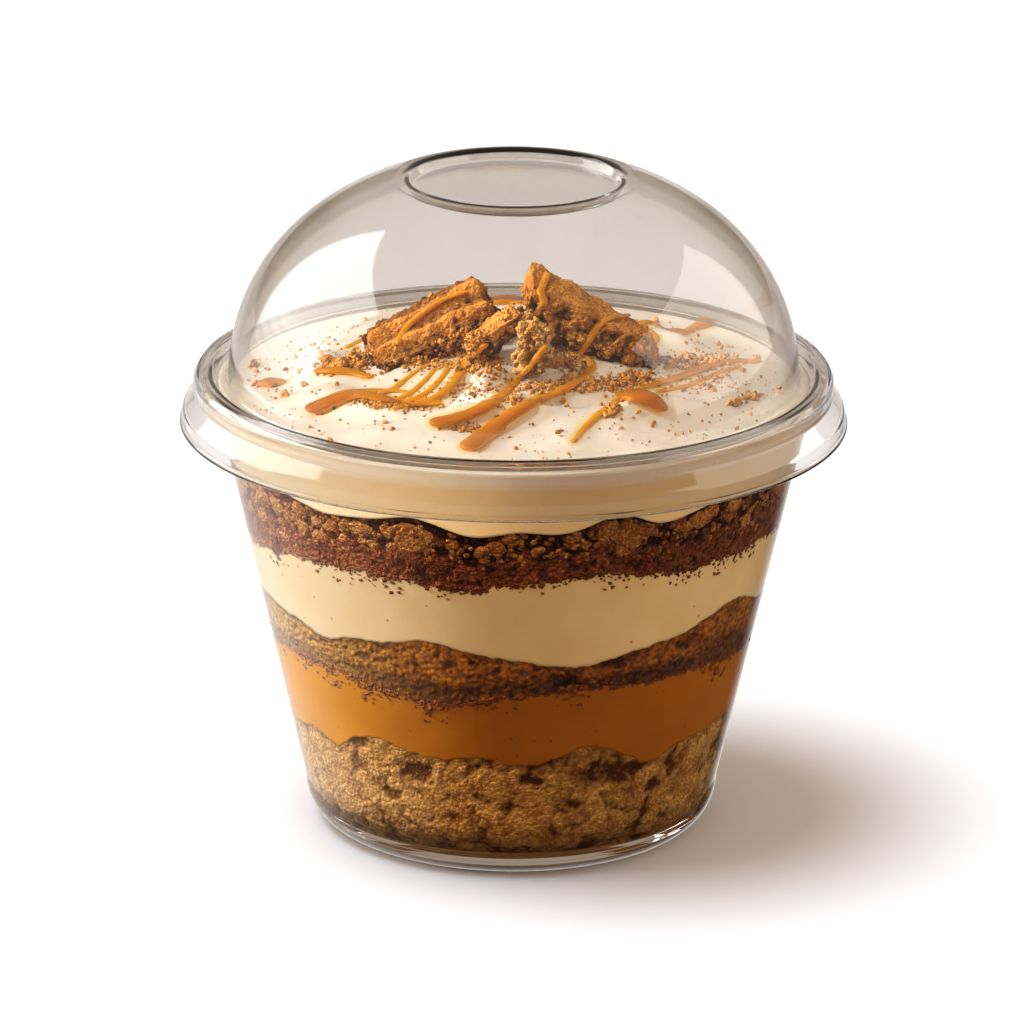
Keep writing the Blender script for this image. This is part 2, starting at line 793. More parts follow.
FLOOR_SEAM = Seam(FLOOR_HEIGHT - 0.5)
SPONGE_TOP = Seam(
    19.9,
    (
        Bump(-70, -1.5, 7),
        Bump(-51, -1.7, 5),
        Bump(-35, 2.3, 10),
        Bump(-9, 1.2, 6),
        Bump(20, 2.6, 9),
        Bump(37, -1.9, 7),
        Bump(68, 0.8, 10),
        Bump(100, 1.7, 12),
        Bump(128, -1.5, 9),
        Bump(160, 1.9, 13),
        Bump(-165, -1.3, 8),
        Bump(-138, 1.8, 12),
        Bump(-105, 1.4, 10),
    ),
    ragged=0.55,
    ragged_size=2.6,
    crumbly=0.4,
)
CARAMEL_TOP = Seam(
    31.9,
    (
        Bump(-52, 0.6, 12),
        Bump(-19, -1.9, 13),
        Bump(18, 1.1, 12),
        Bump(46, 0.7, 12),
        Bump(92, -1.1, 16),
        Bump(135, 0.9, 14),
        Bump(172, -1.2, 14),
        Bump(-140, 1.0, 15),
        Bump(-98, -0.8, 14),
    ),
    ragged=0.5,
    ragged_size=2.0,
    crumbly=0.4,
)
SOAKED_TOP = Seam(
    38.8,
    (
        Bump(-72, 0.6, 9),
        Bump(-47, -1.4, 6),
        Bump(-19, 1.7, 9),
        Bump(14, -2.0, 13),
        Bump(57, 3.4, 13),
        Bump(95, -1.3, 13),
        Bump(126, 1.5, 11),
        Bump(158, -1.2, 11),
        Bump(-160, 1.6, 13),
        Bump(-112, -1.5, 12),
    ),
    ragged=0.3,
    ragged_size=3.0,
    crumbly=0.28,
)
VANILLA_TOP = Seam(
    50.7,
    (
        Bump(-74, -2.6, 15),
        Bump(-30, 0.9, 6),
        Bump(-12, -0.5, 7),
        Bump(17, 2.0, 13),
        Bump(62, 0.6, 14),
        Bump(104, -1.4, 15),
        Bump(146, 1.2, 14),
        Bump(-170, -0.9, 12),
        Bump(-125, 1.0, 14),
    ),
    ragged=0.7,
    ragged_size=2.2,
    crumbly=0.5,
)
CRUMBLE_TOP = Seam(
    60.2,
    (
        Bump(-58, 1.2, 8),
        Bump(-40, -0.7, 6),
        Bump(-20, 1.2, 6),
        Bump(-7, -1.2, 6),
        Bump(9, -0.7, 6),
        Bump(21, 1.8, 6),
        Bump(31, -0.7, 5),
        Bump(47, 1.3, 8),
        Bump(82, -1.0, 11),
        Bump(115, 1.3, 10),
        Bump(150, -1.0, 12),
        Bump(-172, 1.2, 12),
        Bump(-135, -1.1, 12),
        Bump(-95, 0.9, 12),
    ),
    ragged=0.15,
    ragged_size=4.0,
)
FOLDS = (
    Fold(-3, -27, 6, 14, 3.2, 3.0),
    Fold(22, -22, 33, 11, 3.0, 3.4),
    Fold(-24, -19, -38, 10, 3.4, 2.4),
    Fold(-29, -1, -78, 9, 3.4, 2.5),
    Fold(-22, 18, 48, 10, 3.6, 2.2),
    Fold(2, 28, -6, 13, 3.6, 2.4),
    Fold(24, 15, -52, 11, 3.6, 2.3),
    Fold(33, -6, 80, 8, 3.0, 1.8),
    Fold(9, -21, 24, 9, 2.2, -2.4),
    Fold(-12, -21, -18, 8, 2.2, -2.3),
    Fold(-4, -17, 68, 4, 1.5, 1.6),
    Fold(0, -17, 72, 4, 1.3, -1.2),
    Fold(-8, -18, 62, 4, 1.3, -1.0),
    Fold(18, -31, 10, 9, 2.2, 1.2),
    Fold(-18, -31, -12, 9, 2.2, 1.1),
    Fold(4, -34, 2, 16, 2.0, 0.8),
)


class Relief(Enum):
    """How a layer's side is pitted."""

    SMOOTH = "smooth"
    SPONGE = "sponge"
    SOAKED = "soaked"
    CRUMBLE = "crumble"


def turned_place(p: np.ndarray) -> tuple[np.ndarray, np.ndarray]:
    """The angle round the cup, in degrees from the front, and the height of each place."""
    return np.degrees(np.arctan2(p[..., 0], -p[..., 1])), p[..., 2]


@dataclass(frozen=True)
class Hollow:
    """A larger hole in the side of a sponge."""

    angle: float
    z: float
    wide: float
    high: float

    def share(self, p: np.ndarray) -> np.ndarray:
        """How deep in the hole each place is, from 0 to 1."""
        angle, z = turned_place(p)
        away = (angle - self.angle + 180.0) % 360.0 - 180.0
        across = np.radians(away) * np.hypot(p[..., 0], p[..., 1]) / self.wide
        off = np.hypot(across, (z - self.z) / self.high) + 0.7 * drift(p, 1.5, 71, 3)
        return 1.0 - smooth_step(off, 0.4, 1.25)


SPONGE_HOLLOWS = (
    Hollow(26, 17.2, 3.9, 3.2),
    Hollow(40, 13.4, 1.6, 1.2),
    Hollow(-24, 17.2, 2.6, 1.7),
    Hollow(-33, 12.5, 1.6, 1.2),
    Hollow(5, 17.0, 1.8, 0.9),
    Hollow(17, 12.6, 1.3, 0.8),
    Hollow(75, 14.0, 2.6, 1.8),
    Hollow(118, 16.0, 3.0, 2.0),
    Hollow(165, 13.0, 2.8, 1.6),
    Hollow(-150, 16.5, 3.0, 1.8),
    Hollow(-100, 13.5, 2.4, 1.8),
)
SOAKED_HOLLOWS = (
    Hollow(-14, 36.6, 0.9, 0.7),
    Hollow(-9, 37.4, 0.7, 0.5),
    Hollow(-3, 36.2, 0.8, 0.6),
    Hollow(24, 36.6, 3.2, 1.3),
    Hollow(12, 34.6, 2.6, 1.0),
    Hollow(42, 37.2, 2.4, 1.2),
    Hollow(-36, 36.0, 1.3, 0.9),
    Hollow(88, 35.8, 2.6, 1.4),
    Hollow(140, 36.4, 2.8, 1.4),
    Hollow(-135, 36.0, 2.8, 1.4),
    Hollow(-92, 36.0, 2.2, 1.3),
)


def sponge_side(p: np.ndarray) -> tuple[np.ndarray, np.ndarray]:
    """The depth and the hollowness of an open golden crumb: shreds and clumps with gaps between them."""
    warped = p + 0.5 * np.stack([drift(p, 1.5, seed, 2) for seed in (81, 83, 85)], -1)
    shred, _, number = pebbles(warped * np.array([1.0, 1.0, 1.2]), 0.95, 21)
    clump, _, kind = pebbles(warped, 2.3, 23)
    coarse, _, _ = pebbles(p + 1.3 * drift(p, 3.0, 87, 2)[..., None], 4.2, 27)
    seams = smooth_step(shred, 0.4, 0.8) * (0.4 + 0.6 * number)
    gaps = smooth_step(clump, 0.42, 0.72) * smooth_step(drift(p, 4.0, 5, 2), -0.35, 0.25)
    folds = smooth_step(coarse, 0.55, 0.85)
    caves = np.maximum.reduce([hole.share(p) for hole in SPONGE_HOLLOWS])
    uneven = drift(p, 3.4, 95, 3)
    foot = smooth_step(p[..., 2] + 0.8 * drift(p, 1.5, 97, 2), FLOOR_HEIGHT + 1.0, FLOOR_HEIGHT)
    foot = foot * smooth_step(np.abs(turned_place(p)[0]), 62.0, 24.0)
    depth = 0.26 * seams + 0.3 * gaps + 0.2 * folds + 0.1 * (1.0 + uneven) + 0.8 * caves
    hollow = 0.34 * seams + 0.6 * gaps + 0.45 * folds + 0.85 * caves
    hollow = hollow + 0.45 * uneven + 0.5 * foot + 0.3 * (kind - 0.5)
    return np.minimum(depth, 0.84), np.clip(hollow, 0.0, 1.0)


def soaked_side(p: np.ndarray, share: np.ndarray) -> tuple[np.ndarray, np.ndarray]:
    """The depth and the hollowness of a soaked sponge, dark and crumbly along its foot."""
    foot = 1.0 - smooth_step(share + 0.16 * drift(p, 2.2, 33, 2), 0.28, 0.46)
    near, _, _ = pebbles(p, 0.8, 31)
    grains = smooth_step(near, 0.1, 0.7)
    holes = np.maximum.reduce([hole.share(p) for hole in SOAKED_HOLLOWS])
    blobs = 0.5 + 0.5 * drift(p, 2.6, 37, 2)
    pores = (1.0 - smooth_step(pebbles(p, 1.3, 35)[0], 0.16, 0.36)) * (1.0 - foot)
    left = smooth_step(turned_place(p)[0], -22.0, -34.0)
    depth = 0.42 * grains * (0.3 + 0.7 * np.maximum(foot, left)) + 0.25 * blobs + 0.4 * pores + 0.6 * holes
    hollow = 0.62 * foot + 0.4 * grains * foot + 0.5 * grains * left + 0.7 * pores + 0.9 * holes - 0.08
    return np.minimum(depth, 0.84), np.clip(hollow, 0.0, 1.0)


def crumble_side(p: np.ndarray, share: np.ndarray) -> tuple[np.ndarray, np.ndarray]:
    """The depth and the hollowness of fine crumbs below and coarse ones, with gaps, above."""
    upper = smooth_step(share + 0.13 * drift(p, 3.0, 49, 2), 0.42, 0.6)
    near, _, number = pebbles(p + 0.25 * drift(p, 0.8, 47, 2)[..., None], 0.85, 41)
    fine = smooth_step(near, 0.12, 0.66)
    tufts = smooth_step(drift(p, 1.7, 48, 2), -0.1, 0.45)
    clump, _, kept = pebbles(p, 2.6, 43)
    gaps = upper * np.maximum(smooth_step(clump, 0.3, 0.62), smooth_step(kept, 0.55, 0.5))
    depth = 0.42 * fine + 0.22 * tufts + 0.4 * gaps
    hollow = 0.5 * fine * number + 0.35 * fine + 0.35 * tufts + 0.8 * gaps - 0.2 * (1.0 - number)
    return np.minimum(depth, 0.84), np.clip(hollow, 0.0, 1.0)


def pitting(kind: Relief, p: np.ndarray, share: np.ndarray) -> tuple[np.ndarray, np.ndarray]:
    """How far a layer's side stands back from the cup's wall.

    Args:
        kind: The kind of surface.
        p: Places on the side.
        share: How far up the layer each place is, from 0 to 1.

    Returns:
        The depth in millimetres and how much of a hollow each place is, from 0 to 1.
    """
    if kind is Relief.SPONGE:
        return sponge_side(p)
    if kind is Relief.SOAKED:
        return soaked_side(p, share)
    if kind is Relief.CRUMBLE:
        return crumble_side(p, share)
    return np.zeros(share.shape), np.zeros(share.shape)


def paleness(p: np.ndarray) -> np.ndarray:
    """How pale the food is at each place: drier and lighter round its left side."""
    angle, _ = turned_place(p)
    angle = angle + 7.0 * drift(p, 6.0, 91, 2)
    left = smooth_step(angle, 0.0, -54.0) + 0.3 * smooth_step(angle, -52.0, -80.0)
    left = left * smooth_step(angle, -179.0, -140.0)
    right = 0.3 * smooth_step(angle, 34.0, 70.0) * smooth_step(angle, 178.0, 140.0)
    return left + right


@dataclass(frozen=True)
class FoodLayer:
    """One layer of the dessert between two seams, from the cup's axis to just inside its wall."""

    node: str
    slot: str
    lower: Seam
    upper: Seam
    relief: Relief = Relief.SMOOTH
    columns: int = COLUMNS
    row: float = 0.4
    cap_rings: int = 4

    def build(self) -> Shape:
        """Makes the closed shape, with how far each point is from the layer's edges."""
        turn = np.linspace(0.0, 2.0 * math.pi, self.columns, endpoint=False)
        sx, sy = np.sin(turn), -np.cos(turn)
        low_rim = inner_radius(np.float64(self.lower.level))
        high_rim = inner_radius(np.float64(self.upper.level))
        low = self.lower.height(sx * low_rim, sy * low_rim)
        high = self.upper.height(sx * high_rim, sy * high_rim)
        rows = max(6, round((self.upper.level - self.lower.level) / self.row))
        share = np.linspace(0.0, 1.0, rows + 1)[:, None] * np.ones(self.columns)
        z = low + (high - low) * share
        r = inner_radius(z) + REACH
        side = np.stack([r * sx, r * sy, z], -1)
        depth, hollow = pitting(self.relief, side, share)
        r = r - depth * (0.3 + 0.7 * smooth_step(np.minimum(high - z, z - low), 0.0, 0.9))
        side = np.stack([r * sx, r * sy, z], -1)
        shape = Shape()
        shape.add(
            side.reshape(-1, 3),
            [grid_faces(rows + 1, self.columns)],
            hollow=hollow.ravel(),
            below_top=(high - z).ravel(),
            pale=paleness(side).ravel(),
        )
        self.cap(shape, self.lower, side[0], 0, False)
        self.cap(shape, self.upper, side[-1], rows * self.columns, True)
        return shape

    def cap(self, shape: Shape, seam: Seam, edge: np.ndarray, start: int, upwards: bool) -> None:
        """Closes the side with rings on a seam and a fan at the axis.

        Args:
            shape: What to add to.
            seam: The surface that the rings lie on.
            edge: The points of the side's edge.
            start: The number of the first of them.
            upwards: Whether the cap faces up.
        """
        rings = []
        for k in range(self.cap_rings - 1, 0, -1):
            x, y = edge[:, 0] * k / self.cap_rings, edge[:, 1] * k / self.cap_rings
            rings.append(np.stack([x, y, seam.height(x, y)], -1))
        pole = np.array([[0.0, 0.0, seam.height(np.zeros(1), np.zeros(1))[0]]])
        block = np.concatenate([*rings, pole])
        base = shape.count
        first = np.arange(self.columns)
        ids = [start + first] + [base + k * self.columns + first for k in range(len(rings))]
        quads = [np.stack([a, np.roll(a, -1), np.roll(b, -1), b], -1) for a, b in zip(ids, ids[1:])]
        last = ids[-1]
        fan = np.stack([last, np.roll(last, -1), np.full(self.columns, base + len(block) - 1)], -1)
        faces = [f if upwards else f[:, ::-1] for f in (*quads, fan)]
        middle = 0.15 + 0.65 * smooth_step(np.abs(turned_place(block)[0]), 66.0, 24.0)
        shape.add(block, [], hollow=0.0 if upwards else middle, below_top=9.0, pale=paleness(block))
        shape.faces += faces


@dataclass(frozen=True)
class WhippedTop:
    """The whipped cream on top: a side against the cup's wall and a folded mound."""

    edge: float = 69.9
    rise: float = 8.2
    radius: float = 43.6
    round_over: float = 0.9  # radius of its top corner at the wall
    rings: int = 105

    def height(self, x: np.ndarray, y: np.ndarray) -> np.ndarray:
        """Height of the cream's surface over a place on the plan."""
        share = np.clip(np.hypot(x, y) / self.radius, 0.0, 1.0)
        folds = sum(fold.rise(x, y) for fold in FOLDS)
        place = np.stack([x, y, np.zeros_like(x)], -1)
        ripple = 0.55 * drift(place, 7.5, 51, 2) + 0.13 * drift(place, 2.6, 53, 2)
        mound = self.edge + self.rise * np.cos(0.5 * math.pi * share) ** 2
        return mound + (1.0 - share**6) * (folds + ripple)

    def build(self) -> Shape:
        """Makes the closed shape."""
        turn = np.linspace(0.0, 2.0 * math.pi, COLUMNS, endpoint=False)
        sx, sy = np.sin(turn), -np.cos(turn)
        rim = inner_radius(np.float64(CRUMBLE_TOP.level))
        low = CRUMBLE_TOP.height(sx * rim, sy * rim)
        top = self.edge - self.round_over
        rows = 26
        share = np.linspace(0.0, 1.0, rows + 1)[:, None] * np.ones(COLUMNS)
        z = low + (top - low) * share
        r = inner_radius(z) + REACH
        wall_top = float(inner_radius(np.float64(top))) + REACH
        blocks_r, blocks_z = [r], [z]
        for step in range(1, 6):  # the rounded corner
            a = 0.5 * math.pi * step / 5
            blocks_r.append(np.full((1, COLUMNS), wall_top - self.round_over * (1 - math.cos(a))))
            blocks_z.append(np.full((1, COLUMNS), top + self.round_over * math.sin(a)))
        crown = blocks_r[-1][0, 0]
        shares = np.linspace(1.0, 0.0, self.rings + 1)[1:-1]
        radii = crown * shares[:, None] * np.ones(COLUMNS)
        x, y = radii * sx, radii * sy
        surface = self.height(x, y)
        blend = smooth_step(radii, crown, crown - 3.0)
        blocks_r.append(radii)
        blocks_z.append(surface * blend + self.edge * (1.0 - blend))
        r, z = np.concatenate(blocks_r), np.concatenate(blocks_z)
        points = np.stack([r * sx, r * sy, z], -1)
        shape = Shape()
        count = len(points)
        shape.add(
            np.concatenate([points.reshape(-1, 3), [[0.0, 0.0, self.height(np.zeros(1), np.zeros(1))[0]]]]),
            [grid_faces(count, COLUMNS)],
            below_top=9.0,
            pale=np.append(paleness(points).ravel(), 0.0),
            side=np.append(smooth_step(z, self.edge - 0.2, self.edge - 3.6).ravel(), 0.0),
        )
        last = (count - 1) * COLUMNS + np.arange(COLUMNS)
        shape.faces.append(np.stack([last, np.roll(last, -1), np.full(COLUMNS, count * COLUMNS)], -1))
        base = shape.count
        shape.add(np.array([[0.0, 0.0, CRUMBLE_TOP.level]]), [], below_top=9.0, pale=0.0, side=1.0)
        first = np.arange(COLUMNS)
        shape.faces.append(np.stack([np.roll(first, -1), first, np.full(COLUMNS, base)], -1))
        return shape


def ball(level: int) -> tuple[np.ndarray, np.ndarray]:
    """The points and triangles of a round ball of radius 1.

    Args:
        level: How often an icosahedron's faces are split.

    Returns:
        The points and the triangles.
    """
    import bmesh

    work = bmesh.new()
    bmesh.ops.create_icosphere(work, subdivisions=level, radius=1.0)
    points = np.array([v.co[:] for v in work.verts])
    faces = np.array([[v.index for v in f.verts] for f in work.faces])
    work.free()
    return points, faces


BALLS = {level: ball(level) for level in (1, 2, 3, 4)}


def lump(
    rng: np.random.Generator, size: float, level: int, rough: float = 0.32
) -> tuple[np.ndarray, np.ndarray]:
    """An uneven crumb.

    Args:
        rng: Where its chances come from.
        size: Its mean radius.
        level: How finely it is split.
        rough: How uneven it is, as a share of its radius.

    Returns:
        Its points about its own middle and its triangles.
    """
    points, faces = BALLS[level]
    seat = points + rng.uniform(-50.0, 50.0, 3)
    swell = 1.0 + rough * drift(seat, 0.9, 61, 2)
    if level > 2:
        swell += 0.16 * (0.5 - pebbles(seat, 0.33, 63)[0])
    stretch = size * rng.uniform(0.75, 1.3, 3)
    turn = np.array(Matrix.Rotation(rng.uniform(0.0, 6.28), 3, Vector(rng.normal(size=3))))
    return (points * swell[:, None] * stretch) @ turn.T, faces


@dataclass(frozen=True)
class BrokenBiscuit:
    """A broken piece of biscuit: a rounded block, tapered along its length, with crumbly faces."""

    node: str
    size: tuple[float, float, float]
    centre: tuple[float, float, float]
    turn: tuple[float, float, float]
    taper: float
    splits: int
    seed: int
    ridges: tuple[float, ...] = ()  # where ridges run along its baked face, from -1 to 1 across it
    pale: float = 0.0
    lumpy: float = 0.5
    lean: float = 0.0  # how far its top stands towards its start
    core: float = 0.0  # how much darker its broken faces are

    def relief(self, seat: np.ndarray, way: np.ndarray, across: np.ndarray) -> tuple[np.ndarray, np.ndarray]:
        """How far the surface stands out, and how much of a crevice each place is.

        Args:
            seat: Places on the plain block.
            way: The direction out of it at each place.
            across: How far across its length each place is, from -1 to 1.

        Returns:
            The rise in millimetres and the crevices from 0 to 1.
        """
        crust = smooth_step(way[:, 2], 0.5, 0.85)  # the smoother baked face
        near, _, number = pebbles(seat + 0.3 * drift(seat, 1.0, self.seed + 3, 2)[:, None], 0.62, self.seed)
        lump_near, _, _ = pebbles(seat, 1.9, self.seed + 5)
        grain = (0.46 + 0.3 * number) * (0.5 - near)
        lumps = self.lumpy * (0.5 - lump_near) * (1.0 - 0.8 * crust)
        bends = 0.95 * drift(seat, 5.5, self.seed + 9, 2) + 0.5 * drift(seat, 2.3, self.seed + 11, 3)
        rise = bends + lumps + grain * (1.0 - 0.45 * crust)
        crevice = smooth_step(near, 0.42, 0.8) * (0.55 - 0.3 * crust)
        crevice += smooth_step(lump_near, 0.5, 0.85) * (1.0 - crust)
        if self.ridges:
            bent = across + 0.12 * drift(seat, 4.0, self.seed + 17, 2)
            ridge = sum(np.exp(-(((bent - r) / 0.2) ** 2)) for r in self.ridges)
            rise += crust * (1.25 * ridge - 0.7)
            crevice += 0.6 * crust * smooth_step(ridge, 0.35, 0.05)
        pits = smooth_step(drift(seat, 1.5, self.seed + 21, 2), 0.36, 0.6)
        caves = smooth_step(drift(seat, 2.8, self.seed + 25, 2), 0.36, 0.58) * (1.0 - crust)
        crevice += 0.6 * pits + 0.8 * caves + self.core * (1.0 - crust)
        return rise - 0.55 * pits - 1.2 * caves, np.clip(crevice, 0.0, 1.0)

    def build(self) -> Shape:
        """Makes the closed shape in its place."""
        import bmesh

        work = bmesh.new()
        bmesh.ops.create_cube(work, size=2.0)
        bmesh.ops.subdivide_edges(work, edges=work.edges, cuts=self.splits, use_grid_fill=True)
        bmesh.ops.recalc_face_normals(work, faces=work.faces)
        p = np.array([v.co[:] for v in work.verts])
        faces = np.array([[v.index for v in f.verts] for f in work.faces])
        work.free()
        out = p / np.linalg.norm(p, axis=1, keepdims=True)
        p = p * 0.66 + out * 1.22 * 0.34
        across = p[:, 1].copy()
        thin = 1.0 - self.taper * 0.5 * (p[:, :1] + 1.0)
        half = np.array(self.size) * 0.5
        lean = self.lean * p[:, 2]
        p = p * half * np.concatenate([np.ones_like(thin), thin, thin], 1)
        p[:, 0] -= lean
        way = out / half
        way /= np.linalg.norm(way, axis=1, keepdims=True)
        seat = p + np.array(self.centre)
        rise, crevice = self.relief(seat, way, across)
        spin = Matrix.Rotation(math.radians(self.turn[2]), 3, "Z")
        spin @= Matrix.Rotation(math.radians(self.turn[1]), 3, "Y")
        spin @= Matrix.Rotation(math.radians(self.turn[0]), 3, "X")
        spin = np.array(spin)
        under = smooth_step((way @ spin.T)[:, 2], 0.0, -0.5)
        p = (p + way * rise[:, None]) @ spin.T + np.array(self.centre)
        shape = Shape()
        tone = np.clip(self.pale + 0.35 * drift(seat, 1.2, self.seed + 23, 2), 0.0, 1.0)
        shape.add(p, [faces], hollow=np.clip(crevice + 0.7 * under, 0.0, 1.0), pale=tone)
        return shape


BISCUITS = (
    BrokenBiscuit(
        "biscuit_left",
        (19.5, 11.6, 8.0),
        (-12.4, -3.2, 78.4),
        (-29, 22, 190),
        0.15,
        92,
        101,
        (-0.42, 0.38),
        lumpy=1.2,
        core=0.85,
    ),
    BrokenBiscuit(
        "biscuit_right", (22.5, 9.0, 8.2), (11.6, -3.4, 79.4), (8, 29, 6), 0.12, 92, 131, lumpy=1.4, lean=2.2
    ),
    BrokenBiscuit(
        "biscuit_middle",
        (9.6, 4.4, 4.2),
        (-2.9, -11.0, 80.9),
        (15, -33, 14),
        0.15,
        44,
        151,
        pale=0.2,
        lumpy=0.8,
    ),
    BrokenBiscuit(
        "biscuit_block",
        (4.8, 3.8, 8.2),
        (2.9, -15.8, 80.0),
        (-10, 6, -14),
        0.1,
        40,
        171,
        pale=0.8,
        lumpy=1.2,
    ),
)


@dataclass(frozen=True)
class View:
    """The front camera, whose square frame is FRAME points wide."""

    distance: float = 1045.4
    elevation: float = 18.17
    look_height: float = 48.84
    lens: float = 237.3
    sensor: float = 36.0
    roll: float = 0.39
    frame_points: float = 1024.0
    shift_x: float = -0.9 / 1024.0

    def matrix(self) -> Matrix:
        """The camera's place and aim, in millimetres."""
        rise = math.radians(self.elevation)
        target = Vector((0.0, 0.0, self.look_height))
        eye = target + Vector((0.0, -math.cos(rise), math.sin(rise))) * self.distance
        aim = (target - eye).to_track_quat("-Z", "Y").to_matrix().to_4x4()
        return Matrix.Translation(eye) @ aim @ Matrix.Rotation(math.radians(self.roll), 4, "Z")

    def camera(self) -> bpy.types.Object:
        """Makes the scene's camera."""
        data = bpy.data.cameras.new("front camera")
        data.lens = self.lens
        data.sensor_width = self.sensor
        data.shift_x = self.shift_x
        data.clip_start = 0.01
        made = bpy.data.objects.new("front camera", data)
        bpy.context.scene.collection.objects.link(made)
        at = self.matrix()
        at.translation *= MM
        made.matrix_world = at
        bpy.context.scene.camera = made
        return made

    def hit(self, x: float, y: float, trees: Sequence[BVHTree]) -> tuple[Vector, Vector] | None:
        """What the camera sees at a point of its frame.

        Args:
            x: Points from the frame's left edge.
            y: Points from its top edge.
            trees: The shapes that can be seen.

        Returns:
            The nearest place and the surface's normal there, or None.
        """
        at = self.matrix()
        half = self.frame_points / 2.0
        per_point = self.sensor / self.lens / self.frame_points
        across = (x - half) * per_point + self.shift_x * self.sensor / self.lens
        way = at.to_3x3() @ Vector((across, (half - y) * per_point, -1.0)).normalized()
        found = [tree.ray_cast(at.translation, way) for tree in trees]
        found = [f for f in found if f[0] is not None]
        if not found:
            return None
        nearest = min(found, key=lambda f: f[3])
        return nearest[0], nearest[1]


@dataclass(frozen=True)
class Chunk:
    """A coarse crumb against the cup's wall: its middle in the front view's frame, and its radius."""

    x: float
    y: float
    size: float


FRONT_CHUNKS = (
    Chunk(408, 536, 3.0),
    Chunk(424, 541, 2.4),
    Chunk(400, 548, 1.6),
    Chunk(359, 530, 1.9),
    Chunk(344, 538, 1.3),
    Chunk(484, 553, 1.8),
    Chunk(497, 548, 1.2),
    Chunk(509, 539, 1.7),
    Chunk(572, 540, 2.0),
    Chunk(586, 546, 1.2),
    Chunk(612, 531, 2.7),
    Chunk(633, 536, 2.5),
    Chunk(646, 530, 1.7),
    Chunk(622, 551, 1.3),
    Chunk(699, 519, 2.6),
    Chunk(712, 513, 1.7),
    Chunk(686, 527, 1.3),
    Chunk(672, 522, 1.1),
    Chunk(276, 505, 2.0),
    Chunk(290, 517, 2.1),
    Chunk(303, 528, 1.7),
    Chunk(283, 534, 1.5),
    Chunk(318, 536, 1.5),
    Chunk(330, 526, 1.2),
    Chunk(452, 546, 1.1),
    Chunk(538, 551, 1.1),
    Chunk(735, 505, 1.6),
    Chunk(745, 520, 1.4),
    Chunk(262, 494, 2.0),
    Chunk(251, 482, 1.7),
    Chunk(274, 484, 1.6),
    Chunk(300, 508, 1.7),
    Chunk(316, 519, 1.5),
    Chunk(264, 515, 1.5),
    Chunk(252, 506, 1.3),
    Chunk(296, 546, 1.2),
    Chunk(272, 533, 1.1),
    Chunk(331, 541, 1.1),
    Chunk(345, 524, 1.3),
    Chunk(372, 545, 1.2),
    Chunk(385, 532, 1.2),
)


@dataclass(frozen=True)
class CrumbleChunks:
    """The coarse crumbs in the upper part of the crumble, pressed against the cup's wall."""

    count: int = 130  # round the sides and the back
    small: int = 900  # between them, all round
    front: float = 66.0  # how far round the named crumbs reach
    seed: int = 201

    def crumb(self, shape: Shape, rng: np.random.Generator, angle: float, z: float, size: float) -> None:
        """Adds one crumb, flattened and pitted where it meets the cup.

        Args:
            shape: What to add to.
            rng: Where its chances come from.
            angle: Where it is round the cup, in degrees from the front.
            z: Its height.
            size: Its radius.
        """
        turn = math.radians(angle)
        side = np.array([math.sin(turn), -math.cos(turn), 0.0])
        high = CRUMBLE_TOP.height(side[:1] * 41.0, side[1:2] * 41.0)[0]
        z = min(z, high - 0.3 * size)
        wall = float(inner_radius(np.float64(z))) + REACH - 0.05
        points, faces = lump(rng, size, 4 if size > 2.3 else 3 if size > 0.9 else 2, 0.5)
        points = points * np.array([1.0, 1.0, 0.86]) + side * (wall - 0.55 * size) + np.array([0.0, 0.0, z])
        away = np.hypot(points[:, 0], points[:, 1])
        grain = 1.0 - smooth_step(pebbles(points, 0.62, self.seed)[0], 0.1, 0.7)
        behind = np.maximum(wall + 0.45 * size - away, 0.0)  # how far behind its foremost point
        edge = inner_radius(points[:, 2]) + REACH - 0.05
        limit = edge - min(1.0, 0.85 / size) * behind - 0.22 * (1.0 - grain)
        points[:, :2] *= np.minimum(1.0, limit / away)[:, None]
        points[:, 2] = np.minimum(points[:, 2], high + 0.2)
        tone = rng.choice([-0.1, 0.0, 0.2], p=[0.5, 0.3, 0.2]) if size > 0.9 else rng.uniform(-0.2, 0.7)
        pale = paleness(points) + rng.uniform(0.0, 0.35)
        shape.add(points, [faces], hollow=np.clip(tone + 0.9 * (0.62 - grain), 0.0, 1.0), pale=pale)

    def build(self, view: "View") -> Shape:
        """Makes all the crumbs as one shape.

        Args:
            view: The camera whose frame the front crumbs are given in.

        Returns:
            The crumbs.
        """
        rng = np.random.default_rng(self.seed)
        shape = Shape()
        z = np.linspace(40.0, 69.0, 12)
        radii = inner_radius(z) + REACH
        wall = lathe([(0.0, 40.0), *zip(radii.tolist(), z.tolist()), (0.0, 69.0)], 360).tree()
        for chunk in FRONT_CHUNKS:
            at = view.hit(chunk.x, chunk.y, [wall])[0]
            self.crumb(shape, rng, math.degrees(math.atan2(at.x, -at.y)), at.z, chunk.size)
        for number in range(self.count + self.small):
            coarse = number < self.count
            angle = rng.uniform(self.front, 360.0 - self.front) if coarse else rng.uniform(0.0, 360.0)
            turn = math.radians(angle)
            x, y = np.array([math.sin(turn) * 40.0]), np.array([-math.cos(turn) * 40.0])
            low, high = VANILLA_TOP.height(x, y)[0], CRUMBLE_TOP.height(x, y)[0]
            share = rng.uniform(0.6, 0.95) if coarse else 1.0 - 0.8 * rng.beta(1.3, 1.8)
            size = rng.uniform(1.1, 2.2) if coarse else rng.uniform(0.3, 0.85)
            self.crumb(shape, rng, angle, low + (high - low) * share, size)
        return shape


